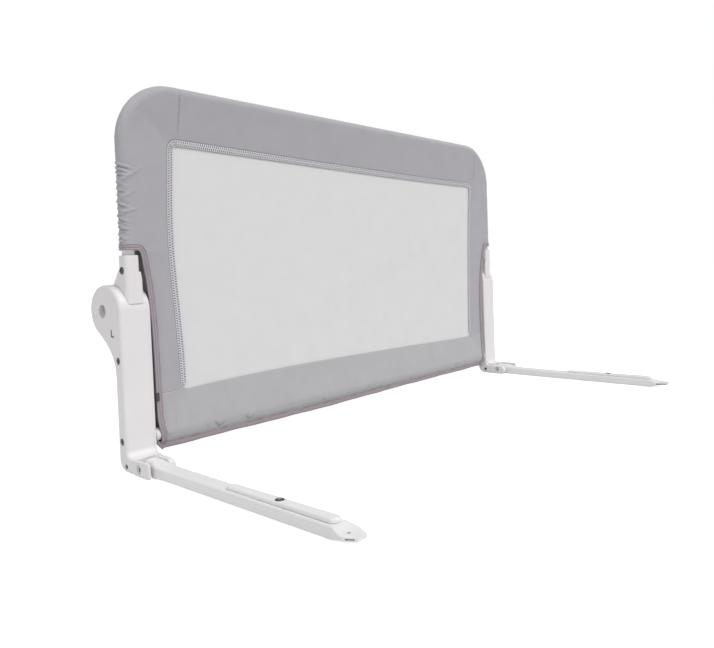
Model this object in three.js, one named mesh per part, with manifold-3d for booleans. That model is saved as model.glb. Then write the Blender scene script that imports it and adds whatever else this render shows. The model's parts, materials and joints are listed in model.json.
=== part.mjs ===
// Folding bed guard rail, in millimetres.
// X runs along the rail, -Y points over the bed and Z is up. The origin lies on the floor, below the middle of the box.
// Each side unit is drawn from its outer face: x inwards, y back from the front of the post, z up from the floor.
import * as THREE from 'three';
import { mergeVertices } from 'three/addons/utils/BufferGeometryUtils.js';
import Module from 'manifold-3d';

const wasm = await Module();
wasm.setup();

// Overall sizes
const railLength = 900; // over the outer faces of the posts
const railHeight = 495; // floor to the top of the cover

// Clearances
const seatGap = 0.3; // between pieces that rest on each other
const swingGap = 0.4; // beside pieces that turn
const overrun = 6; // how far a cutting body passes the faces that it cuts

// Frame tube
const tubeRadius = 8;
const tubeWall = 1.4;
const tubeInset = 21.4; // outer face to the tube axis
const tubeBend = 70; // centre line of the corner
const socketDepth = 29; // how deep the tube stands in the bracket
const jointRun = 68.6; // end of the corner to the joint with the top tube
const spigotLength = 40; // drawn-in end of the top tube
const buttonRadius = 3;

// Post housing
const postWidth = 43;
const postDepth = 20;
const postWall = 2.6;
const lidThickness = 4.8; // inner shell beside the post
const outerEdge = 6; // soft edge round the outer face
const innerEdge = 3; // edge round the inner face
const waistDrop = 84; // hinge axis to where the straight back of the post begins to flare
const waistPull = 28; // how far the flare stays near its end tangents
const cavityFloor = 24;
const cavityDrop = 32; // hinge axis to the top of the cavity
const bootReach = 50; // front of the post to the toe
const bootHeight = 19.5;
const toeRadius = 6.5;
const heelRadius = 15;
const instepRadius = 8;

// Hinge
const hingeDepth = 45; // front of the post to the axis
const hingeHeight = 202;
const discRadius = 33;
const flankAngle = THREE.MathUtils.degToRad(-57); // where the disc runs into the flare
const shoulderRadius = 34;
const outerCheek = 16.6;
const tongueWidth = 16.7;
const webThickness = 4; // round the eye of the tongue, at the front and below
const ledgeRise = 9; // hinge axis to the ledge on which the bracket stands
const webEndAngle = THREE.MathUtils.degToRad(-94); // past the eye's foot, so that the bracket folds right down
const boltRadius = 4;
const boltHeadRadius = 5.8;
const boltHeadLength = 4;
const boltRecess = 9;
const nutRadius = 7.2; // over the corners
const nutRecess = 4.6;

// Bracket
const socketWall = 1.95;
const bracketCorner = 6;
const bracketRise = 70; // hinge axis to the top of the bracket
const neckSetback = 1; // front of the post to the neck
const gussetLift = 1; // top of the disc to the gusset
const gussetHeight = 18;
const gussetReach = 14; // back of the bracket to the back of the gusset
const gussetEdge = 3;
const bracketScrewDrop = 19; // top of the bracket to its screw

// Steel core of the post
const coreStart = 6;
const coreGap = 2.2; // between the core and the parting line
const coreWall = 1.5;
const coreCorner = 3;
const ribCount = 3;
const ribThickness = 2;

// Screws and rivets
const screwRadius = 2.1;
const screwHeadRadius = 4.3;
const screwHeadLength = 2.2;
const screwRecess = 3;
const bossRadius = 7;
const upperScrewDrop = 62; // hinge axis to the upper screw of the post
const lidPilotDepth = 3; // blind hole in the lid
const bracketRecess = 1.1;
const rivetSink = 0.4;
const rivetHeadLength = 1.4;
const armRivetRadius = 3.5;
const armRivetHeadRadius = 5.2;
const heelRivetRadius = 1.6;
const heelRivetHeadRadius = 2.8;
const heelRivetDepth = 2; // front of the post to its axis
const heelRivetHeight = 8;

// Bottom bar
const barHeight = 38;
const plugRadius = 8.7;
const plugLength = 8.5;
const plugRound = 1.6;
const plugSpigotLength = 26;
const plugPilotDepth = 16;

// Arm: round stock that is pressed oval and crimped at the tip
const armStock = 20;
const armWall = 1.4;
const armPivotReach = 27.5; // front of the post to the pivot
const armRootPress = 0.5; // taken off the height of the stock at its root
const armRootReach = 60; // front of the post to the end of the round root
const swageLength = 20;
const armHeight = 13;
const crimpHeight = 11.4; // of the arm where the crimp starts
const crimpLength = 16;
const tipLength = 24;
const armReach = 374; // front of the post to the tip
const tipHeight = 5;
const tipLift = 2.5;
const tipClipLength = 20;
const tipClipWidth = 7;
const tipHoleInset = 14; // tip to the middle of its hole
const tipHoleRadius = 2;

// Crossbar
const crossbarInset = 112; // tip of the arm to the crossbar's rivet
const crossbarLength = 165;
const crossbarWidth = 14;
const crossbarThickness = 4.5;
const crossbarEdge = 1;
const pinRadius = 2.5;
const pinHeadRadius = 4;
const pinHeadLength = 1.3;
const pinRecess = 1.9; // counterbore in the crossbar, which keeps the head below its top
const pinFlareRadius = 3.8;
const pinFlareLength = 0.9;
const washerRadius = 6.5;
const washerThickness = 1.1;

// Cover
const sleeveWall = 1.7; // fabric round the tubes
const sheetThickness = 4;
const netThickness = 2;
const coverGap = 7; // bracket to the lower end of the sleeve
const cutTopReach = 11.6; // tube axis to the side cut-out at the sleeve
const cutKneeReach = 19.6;
const cutKneeDrop = 26; // lower end of the sleeve to the knee of the cut-out
const waistGap = 5; // post to the cut-out beside the hinge
const waistRise = 11; // bend of the cover to the waist of the cut-out
const splitRise = 1; // hinge axis to where the cover bends when the frame folds
const edgeGap = 11; // post to the side edge below the hinge
const sideWidth = 26; // side edge to the window, below the hinge
const windowDrop = 67; // top tube axis to the window
const sillHeight = 90; // lower edge of the window
const hemHeight = 17.5;
const seamRun = 8.6; // end of the tube's corner to the seam of the top piece

// Counts of facets
const curveSteps = 4;
const cornerSteps = 2; // small corners
const edgeSteps = 3;
const roundSides = 16;
const smallSides = 10;
const tubeSides = 14;
const bendSteps = 7;
const armSides = 16; // an even count: half of it goes round each side of the pressed stock
const nutSides = 6;

// Places that follow from the sizes above: y from the front of the post, z from the floor
const partingLine = postWidth - lidThickness;
const tubeDepth = postDepth / 2;
const sleeveRadius = tubeRadius + seatGap + sleeveWall;
const tubeTop = railHeight - sleeveRadius;
const cornerEnd = tubeInset + tubeBend;
const tubeJoint = cornerEnd + jointRun;
const discTop = hingeHeight + discRadius;
const bodyBack = hingeDepth + discRadius;
const middle = (armReach - bodyBack) / 2; // front of the post to the middle of the box
const waistHeight = hingeHeight - waistDrop;
const cavityTop = hingeHeight - cavityDrop;
const ledgeHeight = hingeHeight + ledgeRise;
const eyeRadius = discRadius - webThickness;
const slotRadius = eyeRadius + 2 * swingGap;
const innerCheek = outerCheek + tongueWidth + 2 * swingGap;
const upperScrewHeight = hingeHeight - upperScrewDrop;
const coreEnd = partingLine - coreGap;
const bracketTop = hingeHeight + bracketRise;
const bracketHalfWidth = tubeRadius + seatGap + socketWall;
const bracketStart = tubeInset - bracketHalfWidth;
const bracketEnd = tubeInset + bracketHalfWidth;
const bracketScrewHeight = bracketTop - bracketScrewDrop;
const bracketScrewSeat = bracketStart + bracketRecess;
const tubeFoot = bracketTop - socketDepth;
const gussetFoot = discTop + gussetLift;
const gussetTop = gussetFoot + gussetHeight;
const gussetBack = postDepth + gussetReach;
const armRootHeight = armStock - armRootPress;
const armPivotHeight = armRootHeight / 2;
const swageEnd = armRootReach + swageLength;
const crimpEnd = armReach - tipLength;
const crimpStart = crimpEnd - crimpLength;
const crossbarPlace = armReach - crossbarInset;
const washerFoot = armTopAt(crossbarPlace) + seatGap;
const crossbarFoot = washerFoot + washerThickness + seatGap;
const crossbarTop = crossbarFoot + crossbarThickness;
const coverFoot = bracketTop + coverGap;
const splitHeight = hingeHeight + splitRise;
const lowerEdge = postWidth + edgeGap;
const windowInset = lowerEdge + sideWidth;
const windowTop = tubeTop - windowDrop;
const seamInset = cornerEnd + seamRun;

// Height of the arm's top between the swage and the crimp
function armTopAt(place) {
  return THREE.MathUtils.mapLinear(place, swageEnd, crimpStart, armHeight, crimpHeight);
}

// Width of the pressed stock at a given height: its way round stays the same
const pressedWidth = (height) => height + (Math.PI * (armStock - height)) / 2;
const forkWidth = pressedWidth(armRootHeight) + 2 * swingGap;
const forkOuter = tubeInset - forkWidth / 2;
const forkInner = tubeInset + forkWidth / 2;
const forkRadius = armRootHeight / 2 + 2 * swingGap;

// Solids

// A closed geometry as a solid: corners merged, empty faces dropped and the rest pointing out
function solidOf(geometry) {
  geometry.deleteAttribute('normal');
  geometry.deleteAttribute('uv');
  const merged = mergeVertices(geometry);
  const points = merged.attributes.position;
  const corners = merged.index.array;
  const faces = [];
  const a = new THREE.Vector3();
  const b = new THREE.Vector3();
  const c = new THREE.Vector3();
  let volume = 0;
  for (let i = 0; i < corners.length; i += 3) {
    const face = [corners[i], corners[i + 1], corners[i + 2]];
    if (new Set(face).size < 3) continue;
    faces.push(face);
    a.fromBufferAttribute(points, face[0]);
    b.fromBufferAttribute(points, face[1]);
    c.fromBufferAttribute(points, face[2]);
    volume += a.dot(b.cross(c));
  }
  const turned = volume < 0 ? faces.map((face) => face.reverse()) : faces;
  const vertProperties = new Float32Array(points.array);
  const triVerts = new Uint32Array(turned.flat());
  return new wasm.Manifold(new wasm.Mesh({ numProp: 3, vertProperties, triVerts }));
}

const joined = (first, ...others) => others.reduce((sum, solid) => sum.add(solid), first);
const cut = (body, ...tools) => tools.reduce((rest, tool) => rest.subtract(tool), body);

// Axes of an outline (u, v) and of its thickness w
const unitX = new THREE.Vector3(1, 0, 0);
const unitY = new THREE.Vector3(0, 1, 0);
const unitZ = new THREE.Vector3(0, 0, 1);
const sideways = new THREE.Matrix4().makeBasis(unitY, unitZ, unitX);
const frontways = new THREE.Matrix4().makeBasis(unitX, unitZ, unitY.clone().negate());
const upright = new THREE.Matrix4();

// An outline given thickness along w, with rounded rims where edge is set
function plate(shape, placing, from, to, edge = 0, steps = curveSteps) {
  const geometry = new THREE.ExtrudeGeometry(shape, {
    depth: to - from - 2 * edge,
    curveSegments: steps,
    bevelEnabled: edge > 0,
    bevelThickness: edge,
    bevelSize: edge,
    bevelOffset: -edge,
    bevelSegments: edgeSteps,
  });
  geometry.translate(0, 0, from + edge);
  geometry.applyMatrix4(placing);
  return solidOf(geometry);
}

const sidePlate = (shape, from, to, edge) => plate(shape, sideways, from, to, edge);
const frontPlate = (shape, from, to, edge) => plate(shape, frontways, -to, -from, edge);
const floorPlate = (shape, from, to, edge, steps) => plate(shape, upright, from, to, edge, steps);

function polygon(points) {
  return new THREE.Shape(points.map(([u, v]) => new THREE.Vector2(u, v)));
}

function block(x0, x1, y0, y1, z0, z1) {
  const geometry = new THREE.BoxGeometry(x1 - x0, y1 - y0, z1 - z0);
  geometry.translate((x0 + x1) / 2, (y0 + y1) / 2, (z0 + z1) / 2);
  return solidOf(geometry);
}

// Turns a body from the Y axis onto the named axis and moves it to its place
const turns = {
  x: (geometry, a, b) => geometry.rotateZ(-Math.PI / 2).translate(0, a, b),
  y: (geometry, a, b) => geometry.translate(a, 0, b),
  z: (geometry, a, b) => geometry.rotateX(Math.PI / 2).translate(a, b, 0),
};

// A turned body: its profile lists radius and place along the axis
function turned(axis, profile, a, b, sides = roundSides) {
  const points = profile.map(([radius, place]) => new THREE.Vector2(radius, place));
  return solidOf(turns[axis](new THREE.LatheGeometry(points, sides), a, b));
}

function rod(axis, radius, from, to, a, b, sides = roundSides) {
  return turned(axis, [[0, from], [radius, from], [radius, to], [0, to]], a, b, sides);
}

function ringTube(axis, radius, wall, from, to, a, b) {
  const bore = radius - wall;
  return turned(axis, [[bore, from], [radius, from], [radius, to], [bore, to], [bore, from]], a, b);
}

// A skin over rings of points, closed by a flat cap at each end
function loft(rings) {
  const sides = rings[0].length;
  const points = rings.flat().flatMap((point) => point.toArray());
  const faces = [];
  for (let ring = 0; ring < rings.length - 1; ring += 1) {
    for (let i = 0; i < sides; i += 1) {
      const j = (i + 1) % sides;
      const [near, far] = [ring * sides, (ring + 1) * sides];
      faces.push(near + i, near + j, far + j, near + i, far + j, far + i);
    }
  }
  const last = (rings.length - 1) * sides;
  for (let i = 1; i < sides - 1; i += 1) {
    faces.push(0, i + 1, i, last, last + i, last + i + 1);
  }
  const geometry = new THREE.BufferGeometry();
  geometry.setAttribute('position', new THREE.Float32BufferAttribute(points, 3));
  geometry.setIndex(faces);
  return solidOf(geometry);
}

// Post housing

// Side view of the whole housing: boot, post, flare, disc and shoulder
function housingOutline() {
  const shape = new THREE.Shape();
  const toe = toeRadius - bootReach;
  shape.moveTo(toe, 0);
  shape.lineTo(postDepth - heelRadius, 0);
  shape.absarc(postDepth - heelRadius, heelRadius, heelRadius, -Math.PI / 2, 0, false);
  shape.lineTo(postDepth, waistHeight);
  const flankY = hingeDepth + discRadius * Math.cos(flankAngle);
  const flankZ = hingeHeight + discRadius * Math.sin(flankAngle);
  shape.bezierCurveTo(
    postDepth,
    waistHeight + waistPull,
    flankY + waistPull * Math.sin(flankAngle),
    flankZ - waistPull * Math.cos(flankAngle),
    flankY,
    flankZ,
  );
  shape.absarc(hingeDepth, hingeHeight, discRadius, flankAngle, Math.PI / 2, false);
  shape.lineTo(shoulderRadius, discTop);
  shape.absarc(shoulderRadius, discTop - shoulderRadius, shoulderRadius, Math.PI / 2, Math.PI, false);
  shape.lineTo(0, bootHeight + instepRadius);
  shape.absarc(-instepRadius, bootHeight + instepRadius, instepRadius, 0, -Math.PI / 2, true);
  shape.lineTo(toe, bootHeight);
  shape.absarc(toe, bootHeight - toeRadius, toeRadius, Math.PI / 2, Math.PI, false);
  shape.lineTo(-bootReach, toeRadius);
  shape.absarc(toe, toeRadius, toeRadius, Math.PI, (3 * Math.PI) / 2, false);
  return shape;
}

// Side view of the room that the bracket's tongue turns in: all but the web at the front and below
function hingeRoom(inset) {
  const radius = slotRadius - inset;
  const rise = ledgeHeight + inset - hingeHeight;
  const frontAngle = Math.PI - Math.asin(rise / radius);
  const outside = discRadius + overrun;
  const end = new THREE.Vector2(Math.cos(webEndAngle), Math.sin(webEndAngle));
  const shape = new THREE.Shape();
  shape.moveTo(-overrun, ledgeHeight + inset);
  shape.lineTo(hingeDepth + radius * Math.cos(frontAngle), ledgeHeight + inset);
  shape.absarc(hingeDepth, hingeHeight, radius, frontAngle, 2 * Math.PI + webEndAngle, false);
  shape.lineTo(hingeDepth + 2 * outside * end.x, hingeHeight + 2 * outside * end.y);
  shape.lineTo(hingeDepth + 2 * outside, hingeHeight + 2 * outside * end.y);
  shape.lineTo(hingeDepth + 2 * outside, discTop + overrun);
  shape.lineTo(-overrun, discTop + overrun);
  return shape;
}

// Side view of the room that the root of the arm turns in
function forkRoom(inset) {
  const radius = forkRadius - inset;
  const shape = new THREE.Shape();
  shape.moveTo(-bootReach - overrun, -overrun);
  shape.lineTo(-armPivotReach, -overrun);
  shape.lineTo(-armPivotReach, armPivotHeight - radius);
  shape.absarc(-armPivotReach, armPivotHeight, radius, -Math.PI / 2, 0, false);
  shape.lineTo(radius - armPivotReach, bootHeight + overrun);
  shape.lineTo(-bootReach - overrun, bootHeight + overrun);
  return shape;
}

// Holes that run through both shells
function housingBores() {
  const far = postWidth + overrun;
  return [
    rod('x', boltRadius + seatGap, 0, far, hingeDepth, hingeHeight),
    rod('x', armRivetRadius + seatGap, -overrun, far, -armPivotReach, armPivotHeight),
    rod('x', heelRivetRadius + seatGap, -overrun, far, heelRivetDepth, heelRivetHeight, smallSides),
    rod('x', screwRadius + seatGap, 0, postWidth - seatGap, tubeDepth, upperScrewHeight, smallSides)
      .subtract(block(partingLine + lidPilotDepth, far, -far, far, 0, railHeight)),
    rod('x', screwRadius + seatGap, 0, far, tubeDepth, barHeight, smallSides),
  ];
}

// Recesses of the rivet heads in one of the cheeks' outer faces, from one place to another along x
function rivetRecesses(from, to) {
  return [
    rod('x', armRivetHeadRadius + seatGap, from, to, -armPivotReach, armPivotHeight),
    rod('x', heelRivetHeadRadius + seatGap, from, to, heelRivetDepth, heelRivetHeight, smallSides),
  ];
}

const rivetSeat = rivetSink + rivetHeadLength + seatGap;

function outerShell() {
  const outline = housingOutline();
  const body = sidePlate(outline, 0, postWidth + 2 * outerEdge, outerEdge);
  const cavity = block(
    postWall,
    partingLine + overrun,
    postWall,
    postDepth - postWall,
    cavityFloor,
    cavityTop,
  );
  const hollow = cut(
    body,
    block(partingLine, 2 * postWidth, -railHeight, railHeight, -overrun, railHeight),
    cavity,
    sidePlate(hingeRoom(0), outerCheek, partingLine + overrun),
    sidePlate(forkRoom(0), forkOuter, partingLine + overrun),
  );
  const bosses = [upperScrewHeight, barHeight].map((height) =>
    rod('x', bossRadius, postWall / 2, coreStart - seatGap, tubeDepth, height, smallSides),
  );
  return cut(
    joined(hollow, ...bosses),
    ...housingBores(),
    ...rivetRecesses(-overrun, rivetSeat),
    rod('x', boltHeadRadius + 2 * seatGap, -overrun, boltRecess, hingeDepth, hingeHeight),
    rod('x', screwHeadRadius + seatGap, -overrun, screwRecess, tubeDepth, upperScrewHeight, smallSides),
    rod('x', screwHeadRadius + seatGap, -overrun, screwRecess, tubeDepth, barHeight, smallSides),
  );
}

function innerShell() {
  const lidStart = partingLine + seatGap;
  const outline = housingOutline();
  const body = sidePlate(outline, forkInner - 2 * innerEdge, postWidth, innerEdge);
  const lid = block(lidStart, postWidth + overrun, -railHeight, railHeight, -overrun, railHeight);
  const kept = joined(
    lid,
    sidePlate(hingeRoom(seatGap), innerCheek, lidStart + overrun),
    sidePlate(forkRoom(seatGap), forkInner, lidStart + overrun),
  );
  const pitch = (cavityTop - cavityFloor) / (ribCount + 1);
  const ribs = Array.from({ length: ribCount }, (_, i) => {
    const height = cavityFloor + pitch * (i + 1);
    return block(
      coreEnd + seatGap,
      lidStart + seatGap,
      postWall + seatGap,
      postDepth - postWall - seatGap,
      height - ribThickness / 2,
      height + ribThickness / 2,
    );
  });
  return cut(
    joined(body.intersect(kept), ...ribs),
    ...housingBores(),
    ...rivetRecesses(postWidth - rivetSeat, postWidth + overrun),
    rod('x', nutRadius + seatGap, postWidth - nutRecess, postWidth + overrun, hingeDepth, hingeHeight),
  );
}

function roundedRectangle(x0, x1, y0, y1, radius) {
  const shape = new THREE.Shape();
  shape.moveTo(x0 + radius, y0);
  shape.lineTo(x1 - radius, y0);
  shape.absarc(x1 - radius, y0 + radius, radius, -Math.PI / 2, 0, false);
  shape.lineTo(x1, y1 - radius);
  shape.absarc(x1 - radius, y1 - radius, radius, 0, Math.PI / 2, false);
  shape.lineTo(x0 + radius, y1);
  shape.absarc(x0 + radius, y1 - radius, radius, Math.PI / 2, Math.PI, false);
  shape.lineTo(x0, y0 + radius);
  shape.absarc(x0 + radius, y0 + radius, radius, Math.PI, (3 * Math.PI) / 2, false);
  return shape;
}

// Steel tube inside the post, which the two screws pass through
function postCore() {
  const [y0, y1] = [postWall + seatGap, postDepth - postWall - seatGap];
  const [z0, z1] = [cavityFloor + seatGap, cavityTop - seatGap];
  const outside = roundedRectangle(coreStart, coreEnd, y0, y1, coreCorner);
  const inside = roundedRectangle(
    coreStart + coreWall,
    coreEnd - coreWall,
    y0 + coreWall,
    y1 - coreWall,
    coreCorner - coreWall,
  );
  const holes = [upperScrewHeight, barHeight].map((height) =>
    rod('x', screwRadius + seatGap, 0, postWidth, tubeDepth, height, smallSides),
  );
  return cut(
    floorPlate(outside, z0, z1, 0, cornerSteps),
    floorPlate(inside, z0 - overrun, z1 + overrun, 0, cornerSteps),
    ...holes,
  );
}

// Hinge bolt and nut

function pivotBolt() {
  const neck = boltRecess - seatGap;
  const head = neck - boltHeadLength;
  const end = postWidth - seatGap;
  const round = boltHeadLength / 4;
  const profile = [
    [0, head],
    [boltHeadRadius - round, head],
    [boltHeadRadius, head + round],
    [boltHeadRadius, neck],
    [boltRadius, neck],
    [boltRadius, end],
    [0, end],
  ];
  return turned('x', profile, hingeDepth, hingeHeight);
}

function pivotNut() {
  const from = postWidth - nutRecess + seatGap;
  const hexagon = rod('x', nutRadius, from, postWidth - seatGap, hingeDepth, hingeHeight, nutSides);
  return hexagon.subtract(rod('x', boltRadius + seatGap, 0, 2 * postWidth, hingeDepth, hingeHeight));
}

// Bracket: eye and neck in the hinge, socket for the tube above

function tongueOutline() {
  const foot = ledgeHeight + seatGap;
  const frontAngle = Math.PI - Math.asin((foot - hingeHeight) / eyeRadius);
  const shape = new THREE.Shape();
  shape.moveTo(neckSetback, foot);
  shape.lineTo(hingeDepth + eyeRadius * Math.cos(frontAngle), foot);
  shape.absarc(hingeDepth, hingeHeight, eyeRadius, frontAngle, 2.5 * Math.PI, false);
  shape.lineTo(gussetBack - gussetEdge, gussetFoot + gussetEdge);
  shape.lineTo(postDepth - gussetEdge, gussetTop - gussetEdge);
  shape.lineTo(neckSetback, gussetTop - gussetEdge);
  return shape;
}

// Side view of the cheek's head with running room round it
function headRoom() {
  const shape = new THREE.Shape();
  const room = seatGap + swingGap;
  const foot = hingeHeight - discRadius;
  shape.moveTo(-room, foot);
  shape.lineTo(hingeDepth + discRadius + room, foot);
  shape.lineTo(hingeDepth + discRadius + room, hingeHeight);
  shape.absarc(hingeDepth, hingeHeight, discRadius + room, 0, Math.PI / 2, false);
  shape.lineTo(shoulderRadius, discTop + room);
  shape.absarc(shoulderRadius, discTop - shoulderRadius, shoulderRadius + room, Math.PI / 2, Math.PI, false);
  return shape;
}

function hingeBracket() {
  const tongueStart = outerCheek + swingGap;
  const section = roundedRectangle(bracketStart, bracketEnd, 0, postDepth, bracketCorner);
  const column = floorPlate(section, hingeHeight, bracketTop, 0, cornerSteps);
  const gusset = sidePlate(
    polygon([
      [gussetEdge, gussetFoot - 2 * gussetEdge],
      [gussetBack, gussetFoot - 2 * gussetEdge],
      [gussetBack, gussetFoot],
      [postDepth, gussetTop],
      [gussetEdge, gussetTop],
    ]),
    bracketStart,
    bracketEnd,
    gussetEdge,
  );
  const upper = cut(
    joined(column, gusset),
    sidePlate(headRoom(), bracketStart - overrun, tongueStart),
    block(bracketStart - overrun, bracketEnd + overrun, -overrun, bodyBack, 0, ledgeHeight + seatGap),
  );
  const tongue = sidePlate(tongueOutline(), tongueStart, tongueStart + tongueWidth);
  const screwStart = bracketStart - overrun;
  return cut(
    joined(upper, tongue),
    rod('z', tubeRadius + seatGap, tubeFoot - seatGap, bracketTop + overrun, tubeInset, tubeDepth),
    rod('x', boltRadius + seatGap, 0, postWidth, hingeDepth, hingeHeight),
    rod(
      'x',
      screwHeadRadius + seatGap,
      screwStart,
      bracketScrewSeat,
      tubeDepth,
      bracketScrewHeight,
      smallSides,
    ),
    rod('x', screwRadius + seatGap, screwStart, tubeInset, tubeDepth, bracketScrewHeight, smallSides),
  );
}

// A screw along x: its head rests on seat and its tip ends at tip
function screw(seat, tip, height) {
  const neck = seat - seatGap;
  const head = neck - screwHeadLength;
  const profile = [
    [0, head],
    [screwHeadRadius - screwHeadLength / 4, head],
    [screwHeadRadius, head + screwHeadLength / 2],
    [screwHeadRadius, neck],
    [screwRadius, neck],
    [screwRadius, tip],
    [0, tip],
  ];
  return turned('x', profile, tubeDepth, height, smallSides);
}

// A rivet along x with a low domed head at each face of the housing
function rivet(radius, headRadius, y, z, sides) {
  const [from, to] = [rivetSink, postWidth - rivetSink];
  const dome = rivetHeadLength / 2;
  const profile = [
    [0, from],
    [headRadius - dome, from],
    [headRadius, from + dome],
    [headRadius, from + rivetHeadLength],
    [radius, from + rivetHeadLength],
    [radius, to - rivetHeadLength],
    [headRadius, to - rivetHeadLength],
    [headRadius, to - dome],
    [headRadius - dome, to],
    [0, to],
  ];
  return turned('x', profile, y, z, sides);
}

// Frame tubes

function circleAt(x, z, outward, radius) {
  return Array.from({ length: tubeSides }, (_, i) => {
    const angle = (2 * Math.PI * i) / tubeSides;
    const point = new THREE.Vector3(x, tubeDepth, z);
    point.addScaledVector(outward, radius * Math.cos(angle));
    return point.addScaledVector(unitY, radius * Math.sin(angle));
  });
}

// A round body that climbs the side, turns the corner and ends along the top
function cornerRun(radius, foot, end) {
  const rings = [circleAt(tubeInset, foot, new THREE.Vector3(-1, 0, 0), radius)];
  for (let i = 0; i <= bendSteps; i += 1) {
    const angle = (Math.PI / 2) * (i / bendSteps);
    const outward = new THREE.Vector3(-Math.cos(angle), 0, Math.sin(angle));
    const x = cornerEnd + tubeBend * outward.x;
    const z = tubeTop - tubeBend + tubeBend * outward.z;
    rings.push(circleAt(x, z, outward, radius));
  }
  rings.push(circleAt(end, tubeTop, unitZ, radius));
  return loft(rings);
}

const buttonPlace = tubeJoint - spigotLength / 2;

function buttonHole() {
  const past = tubeDepth + 2 * tubeRadius;
  return rod('y', buttonRadius + seatGap, tubeDepth, past, buttonPlace, tubeTop, smallSides);
}

function cornerTube() {
  const bore = tubeRadius - tubeWall;
  return cut(
    cornerRun(tubeRadius, tubeFoot, tubeJoint),
    cornerRun(bore, tubeFoot - overrun, tubeJoint + overrun),
    rod('x', screwRadius + seatGap, 0, tubeInset, tubeDepth, bracketScrewHeight, smallSides),
    buttonHole(),
  );
}

// Middle of the top: full size between the corner tubes, drawn in where it enters them
function topTube() {
  const bore = tubeRadius - 2 * tubeWall - seatGap;
  const spigot = tubeRadius - tubeWall - seatGap;
  const [inner, outer] = [tubeJoint - spigotLength, tubeJoint + seatGap];
  const profile = [
    [bore, inner],
    [spigot, inner],
    [spigot, outer],
    [tubeRadius, outer],
    [tubeRadius, railLength - outer],
    [spigot, railLength - outer],
    [spigot, railLength - inner],
    [bore, railLength - inner],
    [bore, inner],
  ];
  const hole = buttonHole();
  const farHole = mirrored(hole).translate([railLength, 0, 0]);
  return cut(turned('x', profile, tubeDepth, tubeTop), hole, farHole);
}

function snapButton() {
  const foot = tubeDepth + tubeRadius - 2 * tubeWall - 2 * seatGap;
  const top = tubeDepth + tubeRadius - seatGap;
  const profile = [
    [0, foot],
    [buttonRadius, foot],
    [buttonRadius, top - tubeWall / 2],
    [buttonRadius - tubeWall / 2, top],
    [0, top],
  ];
  return turned('y', profile, buttonPlace, tubeTop, smallSides);
}

// Bottom bar and its plugs

function bottomBar() {
  const from = postWidth + seatGap + plugLength + seatGap;
  return ringTube('x', tubeRadius, tubeWall, from, railLength - from, tubeDepth, barHeight);
}

function barPlug() {
  const foot = postWidth + seatGap;
  const neck = foot + plugLength;
  const spigot = tubeRadius - tubeWall - seatGap;
  const profile = [
    [0, foot],
    [plugRadius - plugRound, foot],
    [plugRadius, foot + plugRound],
    [plugRadius, neck - plugRound],
    [plugRadius - plugRound, neck],
    [spigot, neck],
    [spigot, neck + plugSpigotLength],
    [0, neck + plugSpigotLength],
  ];
  const pilot = rod('x', screwRadius + seatGap, 0, foot + plugPilotDepth, tubeDepth, barHeight, smallSides);
  return turned('x', profile, tubeDepth, barHeight).subtract(pilot);
}

// Arm

// Section of the pressed stock: flat above and below, round at the sides
function pressedRing(y, height, middleHeight, inset) {
  const half = height / 2 - inset;
  const flat = (pressedWidth(height) - height) / 2;
  const perSide = armSides / 2;
  return [1, -1].flatMap((side) =>
    Array.from({ length: perSide }, (_, i) => {
      const angle = Math.PI * (i / (perSide - 1) - 0.5);
      const x = tubeInset + side * (flat + half * Math.cos(angle));
      return new THREE.Vector3(x, y, middleHeight + side * half * Math.sin(angle));
    }),
  );
}

function pressedRun(inset, past) {
  const stations = [
    [armRootHeight / 2 - armPivotReach + past, armRootHeight, armRootHeight / 2],
    [-armRootReach, armRootHeight, armRootHeight / 2],
    [-swageEnd, armHeight, armHeight / 2],
    [-crimpStart, crimpHeight, crimpHeight / 2],
    [-crimpEnd, tipHeight, tipLift + tipHeight / 2],
    [-armReach - past, tipHeight, tipLift + tipHeight / 2],
  ];
  return loft(stations.map(([y, height, centre]) => pressedRing(y, height, centre, inset)));
}

// Room outside the rounded end of the root, seen from the side
function rootCorners() {
  const radius = armRootHeight / 2;
  const rounded = rod('x', radius, -overrun, postWidth + overrun, -armPivotReach, radius);
  const corner = block(-overrun, postWidth + overrun, -armPivotReach, 0, -overrun, armRootHeight + overrun);
  return corner.subtract(rounded);
}

// The two clipped corners of the tip, seen from above
function tipCorners() {
  const half = pressedWidth(tipHeight) / 2;
  return [-1, 1].map((side) => {
    const corner = polygon([
      [tubeInset + side * (half + overrun), overrun - armReach + tipClipLength],
      [tubeInset + side * half, tipClipLength - armReach],
      [tubeInset + side * (half - tipClipWidth), -armReach],
      [tubeInset + side * (half - tipClipWidth), -armReach - overrun],
      [tubeInset + side * (half + overrun), -armReach - overrun],
    ]);
    return floorPlate(corner, -overrun, tipLift + tipHeight + overrun);
  });
}

function armTube() {
  return cut(
    pressedRun(0, 0),
    pressedRun(armWall, overrun),
    rootCorners(),
    ...tipCorners(),
    rod('x', armRivetRadius + seatGap, 0, postWidth, -armPivotReach, armPivotHeight),
    rod('z', pinRadius + seatGap, armHeight / 2, crossbarTop, tubeInset, -crossbarPlace, smallSides),
    rod('z', tipHoleRadius, -overrun, armHeight, tubeInset, tipHoleInset - armReach, smallSides),
  );
}

// Crossbar, its rivet and the washer below it

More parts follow.
